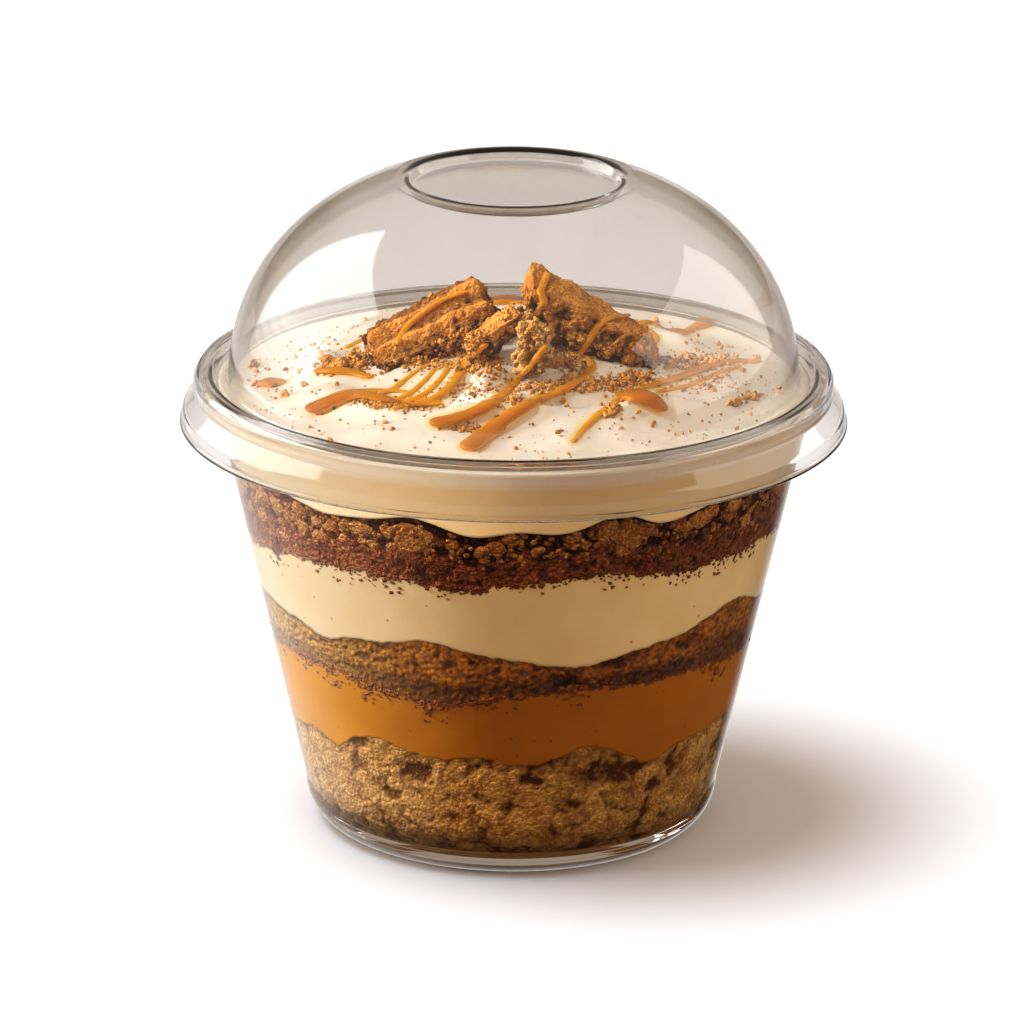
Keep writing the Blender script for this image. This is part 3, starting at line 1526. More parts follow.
@dataclass(frozen=True)
class Fringe:
    """Small crumbs that stray from a layer down into the cream below it, in clusters."""

    seam: Seam
    count: int
    fall: float  # mean distance below the seam
    size: float
    seed: int

    def build(self) -> Shape:
        """Makes the crumbs as one shape."""
        rng = np.random.default_rng(self.seed)
        shape = Shape()
        middles = rng.uniform(-180.0, 180.0, 70)
        reaches = rng.uniform(0.5, 1.9, 70)
        for _ in range(self.count):
            group = rng.integers(0, 70)
            loose = rng.uniform() < 0.2
            angle = rng.uniform(-180.0, 180.0) if loose else middles[group] + rng.normal(0.0, 1.6)
            below = rng.exponential(self.fall * (0.6 if loose else reaches[group])) - 0.25
            turn = math.radians(angle)
            side = np.array([math.sin(turn), -math.cos(turn), 0.0])
            top = self.seam.height(side[:1] * 39.0, side[1:2] * 39.0)[0]
            z = top - min(below, 4.2 * self.fall)
            size = self.size * rng.lognormal(0.0, 0.35)
            points, faces = lump(rng, size, 1 if size < 0.3 else 2, 0.6)
            reach = float(inner_radius(np.float64(z))) + REACH + 0.2 - 0.8 * size
            seat = side * reach + np.array([0.0, 0.0, z])
            points = points * np.array([1.0, 1.0, 0.8]) + seat
            shape.add(points, [faces], hollow=rng.uniform(0.0, 0.8), pale=paleness(points))
        return shape


@dataclass(frozen=True)
class Strand:
    """A thread of caramel sauce along points of the front view's frame."""

    points: tuple[tuple[float, float], ...]
    start: float  # widths along it
    middle: float
    end: float


STRANDS = (
    Strand(((585, 376), (560, 392), (535, 402), (505, 420), (485, 436), (470, 447)), 0.9, 1.5, 1.9),
    Strand(
        ((546, 345), (534, 362), (520, 377), (500, 398), (478, 412), (455, 420), (440, 424)), 0.6, 0.9, 1.9
    ),
    Strand(((485, 345), (468, 362), (455, 382), (440, 396), (418, 404), (396, 408)), 0.8, 0.9, 0.8),
    Strand(((452, 362), (442, 378), (428, 392), (408, 402)), 0.5, 0.6, 0.6),
    Strand(((436, 368), (424, 382), (410, 394), (392, 402)), 0.5, 0.6, 0.6),
    Strand(((424, 366), (408, 378), (392, 390), (372, 398)), 0.4, 0.6, 0.6),
    Strand(((440, 404), (400, 404), (365, 396), (340, 400), (318, 410)), 0.7, 1.3, 2.0),
    Strand(((410, 392), (375, 391), (345, 394), (322, 404)), 0.5, 0.8, 1.2),
    Strand(((628, 398), (645, 400), (660, 410)), 2.4, 2.5, 1.4),
    Strand(((632, 394), (608, 408), (590, 422), (572, 442)), 1.0, 0.8, 0.6),
    Strand(((548, 274), (540, 292), (544, 304), (530, 318), (520, 322)), 0.7, 0.7, 0.7),
    Strand(((640, 314), (612, 318), (598, 326), (588, 342), (578, 356)), 0.8, 0.8, 0.6),
    Strand(((466, 292), (440, 302), (415, 320), (402, 334), (398, 345)), 0.7, 0.7, 0.6),
    Strand(((712, 322), (690, 330), (668, 342), (650, 352)), 1.7, 1.1, 0.7),
    Strand(((756, 362), (728, 362), (700, 370), (672, 380), (640, 388)), 0.9, 1.1, 0.8),
    Strand(((740, 366), (712, 376), (688, 386), (656, 392)), 0.6, 0.7, 0.6),
    Strand(((494, 302), (508, 300), (520, 303)), 1.5, 1.8, 1.3),
    Strand(((318, 372), (345, 372), (370, 378)), 1.0, 1.4, 0.9),
    Strand(((262, 385), (272, 384), (282, 383)), 1.2, 1.8, 1.0),
    Strand(((585, 376), (592, 366), (586, 356)), 0.8, 0.8, 0.6),
    Strand(((508, 392), (486, 404), (470, 414)), 0.9, 1.0, 0.9),
)


@dataclass(frozen=True)
class PlanStrand:
    """A thread of caramel sauce along points of the plan, for the sides that the front view misses."""

    points: tuple[tuple[float, float], ...]
    start: float
    middle: float
    end: float


BACK_STRANDS = (
    PlanStrand(((-14, 6), (-16, 14), (-12, 22), (-15, 30)), 0.8, 1.1, 1.8),
    PlanStrand(((3, 3), (6, 12), (3, 20), (6, 29)), 0.7, 1.0, 1.6),
    PlanStrand(((18, 3), (22, 11), (20, 18), (26, 25)), 0.7, 0.9, 1.5),
    PlanStrand(((-26, 8), (-20, 12), (-8, 13), (4, 17), (14, 14)), 0.6, 0.8, 0.8),
)


def curve_through(points: Sequence[Sequence[float]], spacing: float) -> np.ndarray:
    """Points along a smooth curve through the given ones.

    Args:
        points: The places that the curve passes.
        spacing: Distance from one new point to the next.

    Returns:
        The new points, one to a row.
    """
    p = np.array(points, float)
    p = np.concatenate([[2 * p[0] - p[1]], p, [2 * p[-1] - p[-2]]])
    found = []
    for a, b, c, d in zip(p, p[1:], p[2:], p[3:]):
        steps = max(2, round(np.linalg.norm(c - b) / spacing))
        t = np.linspace(0.0, 1.0, steps, endpoint=False)[:, None]
        square, cube = 2 * a - 5 * b + 4 * c - d, 3 * b - a - 3 * c + d
        found.append(0.5 * (2 * b + (c - a) * t + square * t**2 + cube * t**3))
    found.append(p[-2:-1])
    return np.concatenate(found)


def mesh_points(mesh: bpy.types.Mesh) -> list[Vector]:
    """A mesh's points in millimetres."""
    return [v.co / MM for v in mesh.vertices]


def halo(shape: Shape, sauce: bpy.types.Mesh, reach: float = 1.3) -> np.ndarray:
    """How much sauce has soaked into each point of the cream.

    Args:
        shape: The cream.
        sauce: The sauce on it.
        reach: How far it spreads, in millimetres.

    Returns:
        A share from 0 to 1 for each point.
    """
    spots = mesh_points(sauce)
    near = KDTree(len(spots))
    for number, spot in enumerate(spots):
        near.insert(spot, number)
    near.balance()
    points = np.concatenate(shape.points)
    away = np.full(len(points), 9.0)
    for number in np.nonzero(points[:, 2] > 69.0)[0]:
        away[number] = near.find(points[number])[2]
    return 0.8 * smooth_step(away, reach, 0.0) ** 1.5


@dataclass(frozen=True)
class CaramelSauce:
    """The sauce drizzled over the cream and the biscuits."""

    voxel: float = 0.19
    seed: int = 301
    flatness: float = 0.36  # its height as a share of its width
    plenty: float = 1.95  # how much wider the threads run than their stated widths
    gap: float = 9.0  # a thread ends where the next place on it is further away than this

    def unbroken(self, line: np.ndarray) -> np.ndarray:
        """The longest run of a line's points that spans no gap, so that no thread hangs in the air."""
        breaks = np.flatnonzero(np.linalg.norm(np.diff(line, axis=0), axis=1) > self.gap) + 1
        return max(np.split(line, breaks), key=len)

    def trails(
        self, view: View, trees: Sequence[BVHTree]
    ) -> list[tuple[np.ndarray, tuple[float, float, float]]]:
        """Places and widths of each thread, laid on what is under it.

        Args:
            view: The camera whose frame the front threads are given in.
            trees: The cream and the biscuits.

        Returns:
            A line of places, and its widths at the start, middle and end, for each thread.
        """
        found = []
        for strand in STRANDS:
            seen = [view.hit(x, y, trees) for x, y in curve_through(strand.points, 1.5)]
            line = self.unbroken(np.array([tuple(s[0]) for s in seen if s]))
            found.append((line, (strand.start, strand.middle, strand.end)))
        down = Vector((0.0, 0.0, -1.0))
        for strand in BACK_STRANDS:
            line = []
            for x, y in curve_through(strand.points, 0.25):
                hits = [tree.ray_cast(Vector((x, y, 99.0)), down) for tree in trees]
                line.append((x, y, max(h[0].z for h in hits if h[0] is not None)))
            found.append((np.array(line), (strand.start, strand.middle, strand.end)))
        return found

    def build(self, view: View, trees: Sequence[BVHTree], material: bpy.types.Material) -> bpy.types.Object:
        """Makes the threads as one melted-together piece.

        Args:
            view: The camera whose frame the front threads are given in.
            trees: The cream and the biscuits.
            material: The sauce's finish.

        Returns:
            The new object.
        """
        points, faces = BALLS[2]
        shape = Shape()
        for number, (line, widths) in enumerate(self.trails(view, trees)):
            kernel = np.ones(5) / 5
            padded = np.concatenate([[line[0]] * 2, line, [line[-1]] * 2])
            line = np.stack([np.convolve(padded[:, k], kernel, "valid") for k in range(3)], -1)
            laid = curve_through(line[:: max(1, len(line) // 40)], 0.22)
            share = np.linspace(0.0, 1.0, len(laid))
            width = self.plenty * np.interp(share, (0.0, 0.5, 1.0), widths)
            width = width * (1.0 + 0.16 * drift(laid, 1.8, self.seed + number, 2))
            for place, w in zip(laid, width):
                size = np.array([0.5, 0.5, 0.5 * self.flatness]) * w
                shape.add(place + points * size + np.array([0.0, 0.0, 0.08 * w]), [faces])
        made = shape.piece("caramel_sauce", material)
        melt = made.modifiers.new("melt", "REMESH")
        melt.mode = "VOXEL"
        melt.voxel_size = self.voxel * MM
        melt.use_smooth_shade = True
        ease = made.modifiers.new("ease", "SMOOTH")
        ease.factor = 0.5
        ease.iterations = 4
        self.settle(made, trees)
        return made

    @staticmethod
    def settle(made: bpy.types.Object, trees: Sequence[BVHTree]) -> None:
        """Keeps the melted mesh and marks how deep the sauce is at each point.

        Args:
            made: The sauce, with its modifiers.
            trees: The cream and the biscuits.
        """
        mesh = bpy.data.meshes.new_from_object(made.evaluated_get(bpy.context.evaluated_depsgraph_get()))
        made.modifiers.clear()
        made.data = mesh
        depths = []
        for point in mesh_points(mesh):
            found = [tree.find_nearest(point, 2.0)[3] for tree in trees]
            depths.append(min((d for d in found if d is not None), default=1.0))
        mesh.attributes.new("depth", "FLOAT", "POINT").data.foreach_set("value", depths)
        mesh.shade_smooth()


@dataclass(frozen=True)
class CrumbPatch:
    """A patch of loose crumbs, by its middle and its spread in the front view's frame."""

    x: float
    y: float
    wide: float
    high: float
    count: int
    size: float


PATCHES = (
    CrumbPatch(430, 364, 36, 6, 240, 0.24),
    CrumbPatch(456, 351, 16, 8, 130, 0.32),
    CrumbPatch(480, 364, 24, 8, 280, 0.26),
    CrumbPatch(470, 338, 28, 7, 150, 0.27),
    CrumbPatch(561, 360, 22, 11, 330, 0.28),
    CrumbPatch(530, 336, 9, 15, 90, 0.27),
    CrumbPatch(600, 342, 26, 9, 150, 0.27),
    CrumbPatch(395, 404, 34, 5, 330, 0.23),
    CrumbPatch(560, 388, 42, 6, 280, 0.22),
    CrumbPatch(600, 384, 26, 8, 150, 0.24),
    CrumbPatch(632, 380, 22, 7, 170, 0.27),
    CrumbPatch(342, 366, 22, 7, 230, 0.29),
    CrumbPatch(362, 356, 12, 5, 60, 0.32),
    CrumbPatch(695, 362, 44, 8, 330, 0.26),
    CrumbPatch(700, 384, 40, 7, 90, 0.24),
    CrumbPatch(612, 412, 9, 5, 70, 0.29),
    CrumbPatch(748, 398, 12, 6, 24, 0.34),
    CrumbPatch(736, 404, 8, 4, 12, 0.32),
    CrumbPatch(470, 428, 22, 6, 80, 0.22),
    CrumbPatch(514, 400, 12, 6, 60, 0.22),
    CrumbPatch(520, 312, 16, 5, 70, 0.28),
    CrumbPatch(500, 385, 75, 14, 240, 0.18),
    CrumbPatch(455, 390, 30, 12, 150, 0.17),
    CrumbPatch(253, 366, 8, 4, 18, 0.3),
    CrumbPatch(271, 385, 10, 5, 34, 0.3),
)


@dataclass(frozen=True)
class LooseCrumbs:
    """Loose biscuit crumbs and fine dust on the cream."""

    dust: int = 900
    back: int = 200
    seed: int = 401

    def build(self, view: View, trees: Sequence[BVHTree]) -> Shape:
        """Makes all the crumbs as one shape, each resting where it fell.

        Args:
            view: The camera whose frame the patches are given in.
            trees: The cream and the biscuits.

        Returns:
            The crumbs.
        """
        rng = np.random.default_rng(self.seed)
        shape = Shape()
        spots: list[tuple[Vector, float]] = []
        for patch in PATCHES:
            for _ in range(patch.count):
                x = patch.x + patch.wide * 0.55 * rng.normal()
                y = patch.y + patch.high * 0.55 * rng.normal()
                hit = view.hit(x, y, trees)
                if hit:
                    spots.append((hit[0], patch.size * rng.lognormal(-0.25, 0.4)))
        down = Vector((0.0, 0.0, -1.0))
        for number in range(self.dust + self.back):
            far = 41.5 * math.sqrt(rng.uniform())
            angle = rng.uniform(0.0, 2.0 * math.pi)
            start = Vector((far * math.cos(angle), far * math.sin(angle), 99.0))
            hits = [h for h in (tree.ray_cast(start, down) for tree in trees) if h[0] is not None]
            if hits:
                top = max(hits, key=lambda h: h[0].z)[0]
                spots.append((top, (0.13 if number < self.dust else 0.22) * rng.lognormal(0.0, 0.45)))
        for place, size in spots:
            points, faces = lump(rng, size, 3 if size > 0.5 else 2 if size > 0.24 else 1, 0.7)
            seat = np.array(place) + np.array([0.0, 0.0, 0.4 * size])
            dark = rng.choice([0.0, 0.15, 0.5, 0.9], p=[0.4, 0.3, 0.2, 0.1])
            shape.add(points + seat, [faces], hollow=dark, pale=rng.uniform(0.0, 0.7))
        return shape


# --- the cup and the lid -----------------------------------------------------------------------


@dataclass(frozen=True)
class Cup:
    """The clear cup."""

    facets: int = 192
    foot_recess: float = 1.4
    foot_inside: float = 24.8
    foot_radius: float = 27.0
    height: float = 69.7
    rim_depth: float = 2.4
    rim_radius: float = 47.9

    def outline(self) -> list[tuple[float, float]]:
        """Its cross-section, from the axis below, outside and over the rim, to the axis above."""
        inside = self.foot_inside
        ring = [(inside, 0.0, 0.7), (self.foot_radius - 0.4, 0.0, 0.0)]
        under = filleted([(0.0, self.foot_recess, 0.0), (inside - 1.6, self.foot_recess, 0.9), *ring])
        corner = []
        for step in range(13):
            a = 0.5 * math.pi * step / 12
            out = self.foot_radius + (CORNER_RADIUS - self.foot_radius) * math.sin(a)
            corner.append((out, CORNER_HEIGHT * (1.0 - math.cos(a))))
        bottom = self.height - self.rim_depth
        outer, inner = float(wall_radius(np.float64(bottom))), float(inner_radius(np.float64(self.height)))
        rim = filleted(
            [
                (*corner[-1], 0.0),
                (outer, bottom, 0.6),
                (self.rim_radius, bottom + 0.1, 0.9),
                (self.rim_radius, self.height, 1.0),
                (inner, self.height, 0.8),
                (float(inner_radius(np.float64(CORNER_HEIGHT + 1.5))), CORNER_HEIGHT + 1.5, 0.0),
            ]
        )
        floor = []
        for step in range(9):
            z = FLOOR_HEIGHT + INNER_CORNER * (1.0 - math.sin(0.5 * math.pi * step / 8))
            floor.append((float(inner_radius(np.float64(z))), z))
        return dense(under + corner[:-1] + rim + floor + [(0.0, FLOOR_HEIGHT)])

    def build(self) -> Shape:
        """Makes the closed shape."""
        return lathe(self.outline(), self.facets)


@dataclass(frozen=True)
class DomeLid:
    """The clear lid: a dome with a sunken plate on top and a stepped rim over the cup's rim."""

    facets: int = 192
    wall: float = 0.9
    dome_radius: float = 43.55
    dome_foot: float = 69.5
    dome_rise: float = 35.05
    dome_power: float = 2.2
    plate_radius: float = 15.9
    plate_height: float = 100.75
    bead_radius: float = 17.0
    bead_height: float = 102.35

    def centre_line(self) -> list[tuple[float, float]]:
        """The middle of the lid's wall, from the axis out and down to the skirt's lip."""
        top = self.bead_height - 0.35
        foot = 72.6
        dome = []
        for step in range(2001):
            z = foot + (top - foot) * math.cos(0.5 * math.pi * step / 2000)
            share = ((z - self.dome_foot) / self.dome_rise) ** self.dome_power
            dome.append((self.dome_radius * (1.0 - share) ** (1.0 / self.dome_power), z))
        dome = even(dome, 0.6)
        plate = filleted(
            [
                (0.0, self.plate_height, 0.0),
                (self.plate_radius, self.plate_height, 0.8),
                (self.bead_radius - 0.3, self.bead_height, 0.7),
                (*dome[0], 0.0),
            ]
        )
        rim = filleted(
            [
                (*dome[-1], 0.0),
                (43.9, 70.5, 1.1),
                (46.0, 70.5, 0.9),
                (46.9, 71.95, 0.7),
                (48.2, 71.95, 0.8),
                (48.75, 71.0, 0.5),
                (48.7, 68.9, 0.8),
                (50.45, 66.6, 1.6),
                (50.7, 64.6, 0.4),
                (51.0, 64.35, 0.0),
            ]
        )
        return plate + dome[1:-1] + rim

    def build(self) -> Shape:
        """Makes the closed shape: the wall's two sides, joined round the lip."""
        line = dense(self.centre_line())
        inner = beside(line, self.wall / 2)
        outer = beside(line, -self.wall / 2)
        end, before = Vector(line[-1]), Vector(line[-2])
        way = (end - before).normalized()
        side = Vector((way.y, -way.x))
        lip = []
        for step in range(1, 6):
            a = math.pi * step / 6
            lip.append(tuple(end + (side * math.cos(a) + way * math.sin(a)) * self.wall / 2))
        return lathe(inner + lip + outer[::-1], self.facets)


# --- the studio --------------------------------------------------------------------------------


@dataclass(frozen=True)
class Lamp:
    """A lamp that stands at an angle round from the front, positive to +X, and some way up."""

    name: str
    angle: float
    elevation: float
    colour: tuple[float, float, float]
    strength: float

    def way(self) -> Vector:
        """The direction from the dessert to the lamp."""
        turn, rise = math.radians(self.angle), math.radians(self.elevation)
        return Vector((math.sin(turn) * math.cos(rise), -math.cos(turn) * math.cos(rise), math.sin(rise)))

    def hang(self, data: bpy.types.Light, distance: float, mirrored: bool) -> bpy.types.Object:
        """Puts the lamp in its place.

        Args:
            data: The lamp's light.
            distance: How far away it hangs.
            mirrored: Whether gloss shows it; if not, it only lights.

        Returns:
            The lamp.
        """
        lamp = bpy.data.objects.new(self.name, data)
        lamp.location = self.way() * distance * MM
        lamp.rotation_euler = (-self.way()).to_track_quat("-Z", "Y").to_euler()
        lamp.visible_glossy = mirrored
        lamp.visible_transmission = mirrored
        bpy.context.scene.collection.objects.link(lamp)
        return lamp


@dataclass(frozen=True)
class FarLamp(Lamp):
    """Even light from one side, whose strength is what it lays on a surface that faces it, over pi."""

    spread: float = 20.0  # how wide it looks, in degrees
    mirrored: bool = False

    def build(self) -> bpy.types.Object:
        """Adds the lamp to the scene."""
        data = bpy.data.lights.new(self.name, "SUN")
        data.energy = self.strength * math.pi
        data.angle = math.radians(self.spread)
        data.color = self.colour
        return self.hang(data, 2000.0, self.mirrored)


@dataclass(frozen=True)
class Panel(Lamp):
    """A soft box that shows in gloss and glass; its strength is how bright it looks."""

    distance: float = 1000.0
    width: float = 800.0
    height: float = 800.0
    mirrored: bool = True

    def build(self) -> bpy.types.Object:
        """Adds the soft box to the scene."""
        data = bpy.data.lights.new(self.name, "AREA")
        data.shape = "RECTANGLE"
        data.size, data.size_y = self.width * MM, self.height * MM
        data.energy = self.strength * math.pi * data.size * data.size_y
        data.color = self.colour
        lamp = self.hang(data, self.distance, self.mirrored)
        lamp.visible_diffuse = not self.mirrored
        return lamp


KEY = FarLamp("key", -88, 24, (1.0, 0.985, 0.96), 1.25, 16.0, True)
CREAM_KEY = FarLamp("cream key", -80, 16, (1.0, 0.985, 0.96), 1.35, 12.0)
TOP_KEY = FarLamp("top key", -70, 48, (1.0, 0.985, 0.96), 0.64, 9.0, True)
FRONT_FILL = FarLamp("front fill", 10, 8, (1.0, 0.66, 0.36), 0.34, 70.0)
CRUMB_KEY = FarLamp("crumb key", -56, 42, (1.0, 0.86, 0.66), 0.66, 9.0)
CRUMB_SIDE = FarLamp("crumb side", -93, 30, (1.0, 0.90, 0.74), 0.7, 12.0)
CRUMB_FILL = FarLamp("crumb fill", 15, 5, (1.0, 0.60, 0.30), 0.07, 70.0)
SIDE_FILL = FarLamp("side fill", 95, 25, (1.0, 0.86, 0.68), 0.26, 60.0)
FLOOR_KEY = FarLamp("floor key", -87, 71, (0.92, 0.96, 1.04), 0.97, 36.0)
KEY_PANELS = tuple(
    Panel(
        f"key panel {k}",
        -112,
        34 - 2.2 * k,
        (1.0, 1.0, 1.0),
        0.84,
        1000.0,
        800.0 + 24.0 * k,
        640.0 + 90.0 * k,
    )
    for k in range(5)
)
FILL_PANEL = Panel("fill panel", 98, 24, (1.0, 0.94, 0.86), 1.65, 1000.0, 1300.0, 800.0)
BOUNCES = (
    Panel("bounce card left", -78, 3, (1.0, 0.90, 0.80), 4.0, 130.0, 70.0, 8.0, False),
    Panel("bounce card right", 62, 7, (1.0, 0.98, 0.93), 8.0, 150.0, 70.0, 14.0, False),
)


@dataclass(frozen=True)
class Studio:
    """The floor, the lamps and the light from all round."""

    floor_size: float = 6000.0
    floor_colour: tuple = (0.93, 0.94, 0.975)
    air: tuple = (0.43, 0.35, 0.285)
    air_below: tuple = (0.06, 0.045, 0.035)
    air_left: tuple = (0.34, 0.26, 0.21)
    air_behind: tuple = (0.95, 0.92, 0.88)

    def floor(self) -> bpy.types.Object:
        """Makes the floor, which lamps of its own keep white; gloss and bounced light miss it."""
        half = self.floor_size / 2
        corners = np.array([(-half, -half, 0.0), (half, -half, 0.0), (half, half, 0.0), (-half, half, 0.0)])
        shape = Shape()
        shape.add(corners, [np.array([[0, 1, 2, 3]])])
        material, desk = new_material("floor")
        grey = desk.node(
            "BsdfPrincipled", Base_Color=self.floor_colour, Roughness=0.9, Specular_IOR_Level=0.0
        )
        finish_off(desk, grey.outputs[0])
        floor = shape.piece("studio_floor", material)
        floor.visible_glossy = False
        floor.visible_diffuse = False
        return floor

    def surroundings(self) -> None:
        """Sets the light from all round: a warm room, a bright table behind and a dark one in front."""
        world = bpy.data.worlds.new("studio")
        world.use_nodes = True
        desk = Desk(world.node_tree)
        way = desk.node("SeparateXYZ", Vector=desk.node("TexCoord").outputs["Generated"])
        back, left = desk.ramp(way.outputs["Y"], -0.1, 0.6), desk.ramp(way.outputs["X"], 0.5, 0.1)
        behind = desk.math("MULTIPLY", back, left)
        below = desk.mixed(desk.ramp(way.outputs["X"], -0.3, -0.8), self.air_below, self.air_left)
        below = desk.mixed(behind, below, self.air_behind)
        colour = desk.mixed(desk.ramp(way.outputs["Z"], -0.3, 0.05), below, self.air)
        light = desk.node("Background", Color=colour)
        desk.node("OutputWorld", Surface=light.outputs[0])
        bpy.context.scene.world = world

    @staticmethod
    def group(name: str, members: Sequence[bpy.types.Object], state: str) -> bpy.types.Collection:
        """A collection that says which pieces a lamp lights (INCLUDE) or leaves (EXCLUDE)."""
        made = bpy.data.collections.new(name)
        for member in members:
            made.objects.link(member)
        for entry in made.collection_objects:
            entry.light_linking.link_state = state
        return made

    def build(self, clear: Pieces, rough: Pieces, topping: Pieces, cream: bpy.types.Object) -> None:
        """Adds all of it and sets how the picture is developed.

        Args:
            clear: The clear pieces, which the key passes without a glint.
            rough: The sponges, biscuits and crumbs, whose grain a narrower lamp brings out.
            topping: What lies on top, which has a lamp from above.
            cream: The whipped cream, which has a lower key of its own.
        """
        floor = self.floor()
        self.surroundings()
        for lamp in (SIDE_FILL, *KEY_PANELS, FILL_PANEL):
            lamp.build()
        FLOOR_KEY.build().light_linking.receiver_collection = self.group("floor only", [floor], "INCLUDE")
        dessert = self.group("all but the floor", [floor], "EXCLUDE")
        food = self.group("food", [floor, cream, *clear], "EXCLUDE")
        alone = self.group("cream only", [cream], "INCLUDE")
        smooth = self.group("smooth food", [floor, *clear, *rough], "EXCLUDE")
        baked = self.group("baked food", rough, "INCLUDE")
        above = self.group("topping", topping, "INCLUDE")
        lit = [(KEY, food), (CREAM_KEY, alone), (TOP_KEY, above), (FRONT_FILL, smooth), (CRUMB_KEY, baked)]
        lit += [(CRUMB_SIDE, baked), (CRUMB_FILL, baked)]
        for lamp, pieces in (*lit, *((card, dessert) for card in BOUNCES)):
            lamp.build().light_linking.receiver_collection = pieces
        scene = bpy.context.scene
        scene.view_settings.view_transform = "Standard"
        scene.view_settings.look = "None"
        cycles = scene.cycles
        cycles.caustics_reflective = False
        cycles.caustics_refractive = False
        cycles.max_bounces = 16
        cycles.transmission_bounces = 16
        cycles.transparent_max_bounces = 24
        cycles.diffuse_bounces = 3
        cycles.glossy_bounces = 6
        cycles.sample_clamp_indirect = 6.0


# --- putting it together -----------------------------------------------------------------------

VANILLA_FINISH = Cream(
    "vanilla_cream",
    (0.86, 0.63, 0.31),
    (0.82, 0.58, 0.27),
    (0.30, 0.08, 0.03),
    0.02,
    fringe_depth=1.3,
    paler=0.45,
)
CARAMEL_FINISH = Cream(
    "caramel_cream",
    (0.36, 0.104, 0.001),
    (0.32, 0.090, 0.001),
    (0.16, 0.035, 0.002),
    0.03,
    fringe_depth=1.1,
    paler=0.34,
    brighter=0.44,
)
WHIPPED_FINISH = Cream(
    "whipped_cream",
    (0.92, 0.88, 0.80),
    (0.89, 0.84, 0.74),
    (0.45, 0.2, 0.06),
    0.02,
    roughness=0.36,
    gloss=0.5,
    side=(0.98, 0.70, 0.34),
    halo=(0.95, 0.72, 0.28),
)
SPONGE_FINISH = Crumb(
    "sponge",
    (0.78, 0.385, 0.092),
    (0.44, 0.160, 0.024),
    (0.08, 0.018, 0.001),
    0.6,
    relief=0.25,
    shine=0.1,
    paler=0.41,
    filled=0.05,
    cracks=0.55,
    wet_edge=0.9,
)
SOAKED_FINISH = Crumb(
    "soaked_sponge",
    (0.48, 0.135, 0.007),
    (0.20, 0.038, 0.002),
    (0.014, 0.002, 0.001),
    0.9,
    0.35,
    relief=0.25,
    gloss=0.5,
    shine=0.25,
    paler=0.62,
    filled=0.35,
    wet_edge=0.6,
)
CRUMBLE_FINISH = Crumb(
    "crumble", (0.48, 0.125, 0.042), (0.14, 0.021, 0.006), (0.018, 0.002, 0.001), 0.5, paler=0.28
)
CHUNK_FINISH = Crumb(
    "biscuit_chunks", (0.80, 0.31, 0.068), (0.50, 0.138, 0.022), (0.05, 0.009, 0.002), 0.5, paler=0.33
)
FRINGE_FINISH = Crumb(
    "stray_crumbs", (0.40, 0.11, 0.026), (0.20, 0.042, 0.008), (0.08, 0.016, 0.003), 0.5, paler=0.45
)
BISCUIT_FINISH = Crumb(
    "biscuit",
    (0.80, 0.35, 0.062),
    (0.56, 0.195, 0.026),
    (0.045, 0.010, 0.002),
    0.4,
    relief=0.25,
    paler=0.5,
    cracks=0.5,
)
LOOSE_FINISH = Crumb(
    "loose_crumbs", (0.90, 0.42, 0.078), (0.62, 0.215, 0.026), (0.09, 0.02, 0.003), 0.4, paler=0.4
)

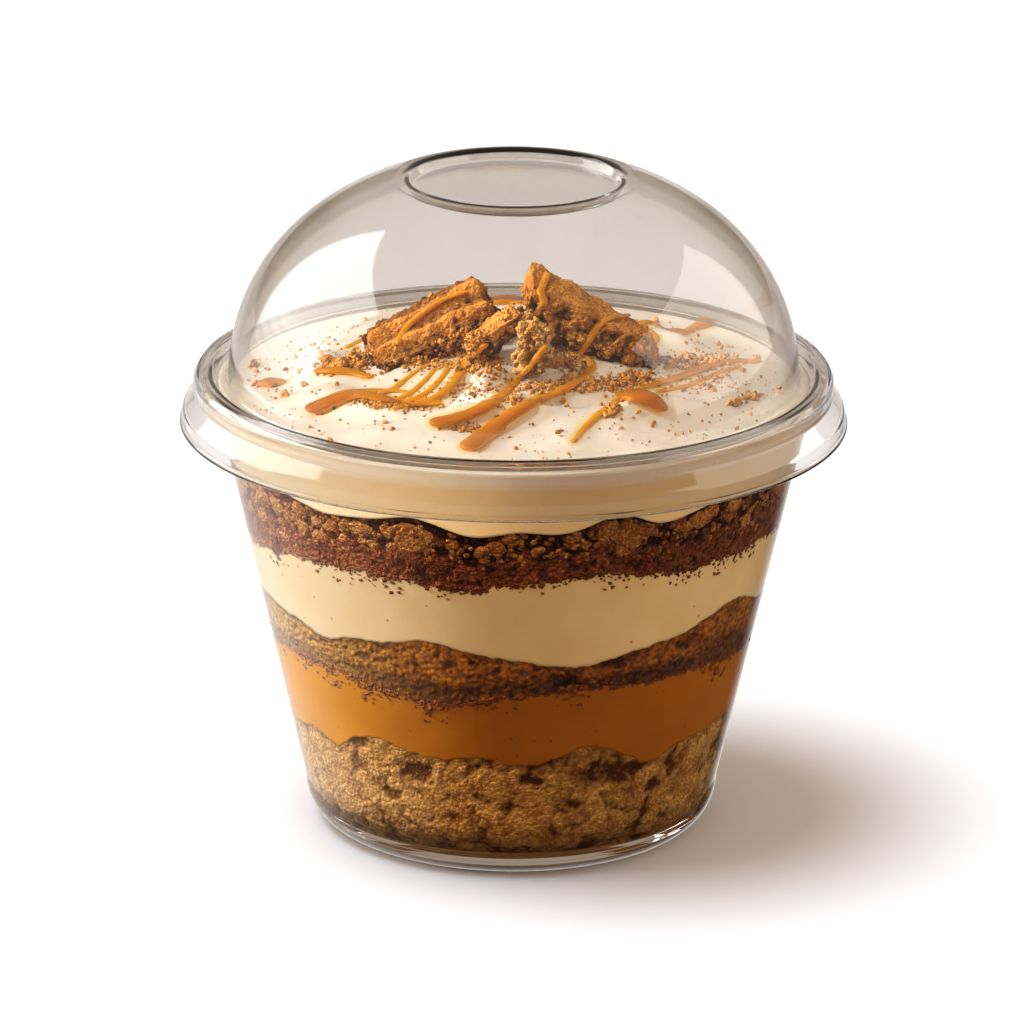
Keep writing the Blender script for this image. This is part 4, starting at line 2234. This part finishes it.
LAYERS = (
    (
        FoodLayer("sponge_base", "sponge", FLOOR_SEAM, SPONGE_TOP, Relief.SPONGE, FINE_COLUMNS, 0.26),
        SPONGE_FINISH,
    ),
    (FoodLayer("caramel_cream", "caramel_cream", SPONGE_TOP, CARAMEL_TOP), CARAMEL_FINISH),
    (
        FoodLayer(
            "soaked_sponge", "soaked_sponge", CARAMEL_TOP, SOAKED_TOP, Relief.SOAKED, FINE_COLUMNS, 0.22
        ),
        SOAKED_FINISH,
    ),
    (FoodLayer("vanilla_cream", "vanilla_cream", SOAKED_TOP, VANILLA_TOP), VANILLA_FINISH),
    (
        FoodLayer("biscuit_crumble", "crumble", VANILLA_TOP, CRUMBLE_TOP, Relief.CRUMBLE, FINE_COLUMNS, 0.22),
        CRUMBLE_FINISH,
    ),
)
FRINGES = (
    ("crumble_fringe", "crumble", Fringe(VANILLA_TOP, 1700, 0.65, 0.25, 501)),
    ("soaked_fringe", "soaked_sponge", Fringe(CARAMEL_TOP, 1300, 0.75, 0.25, 521)),
)


def place(piece: bpy.types.Object, slot: str, *nodes: str) -> None:
    """Says which body a piece rides on, its slot, and which nodes it stands for, and reports it."""
    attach(piece, BODY)
    if nodes:
        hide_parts(*nodes)
    log.info("%s: %d faces", piece.name, len(piece.data.polygons))


def main() -> None:
    """Builds every piece in order."""
    logging.basicConfig(level=logging.INFO, format="%(name)s: %(message)s")
    view = View()
    view.camera()
    effects = Effects()
    clear = ClearPlastic().material()
    cup = Cup().build().piece("clear_cup", clear)
    place(cup, "clear_plastic", "cup")
    lid = DomeLid().build().piece("clear_lid", clear)
    place(lid, "clear_plastic", "dome_lid")
    rough = []
    for layer, finish in LAYERS:
        piece = layer.build().piece(f"{layer.node}_fill", finish.material(effects))
        place(piece, layer.slot, layer.node)
        if layer.relief is not Relief.SMOOTH:
            rough.append(piece)
    rough.append(CrumbleChunks().build(view).piece("crumble_chunks", CHUNK_FINISH.material(effects)))
    place(rough[-1], "crumble")
    stray = FRINGE_FINISH.material(effects)
    for name, slot, fringe in FRINGES:
        rough.append(fringe.build().piece(name, stray))
        place(rough[-1], slot)
    baked = BISCUIT_FINISH.material(effects)
    buried = len(rough)
    whipped = WhippedTop().build()
    trees = [whipped.tree()]
    for biscuit in BISCUITS:
        shape = biscuit.build()
        trees.append(shape.tree())
        rough.append(shape.piece(f"{biscuit.node}_piece", baked))
        place(rough[-1], "biscuit", biscuit.node)
    sauce = CaramelSauce().build(view, trees, Sauce().material())
    place(sauce, "caramel_sauce")
    whipped.mark("halo", halo(whipped, sauce.data))
    cream = whipped.piece("whipped_cream_fill", WHIPPED_FINISH.material(effects))
    place(cream, "whipped_cream", "whipped_cream")
    rough.append(LooseCrumbs().build(view, trees).piece("loose_crumbs", LOOSE_FINISH.material(effects)))
    place(rough[-1], "biscuit")
    Studio().build([cup, lid], rough, [cream, sauce, *rough[buried:]], cream)


if __name__ == "__main__":
    main()
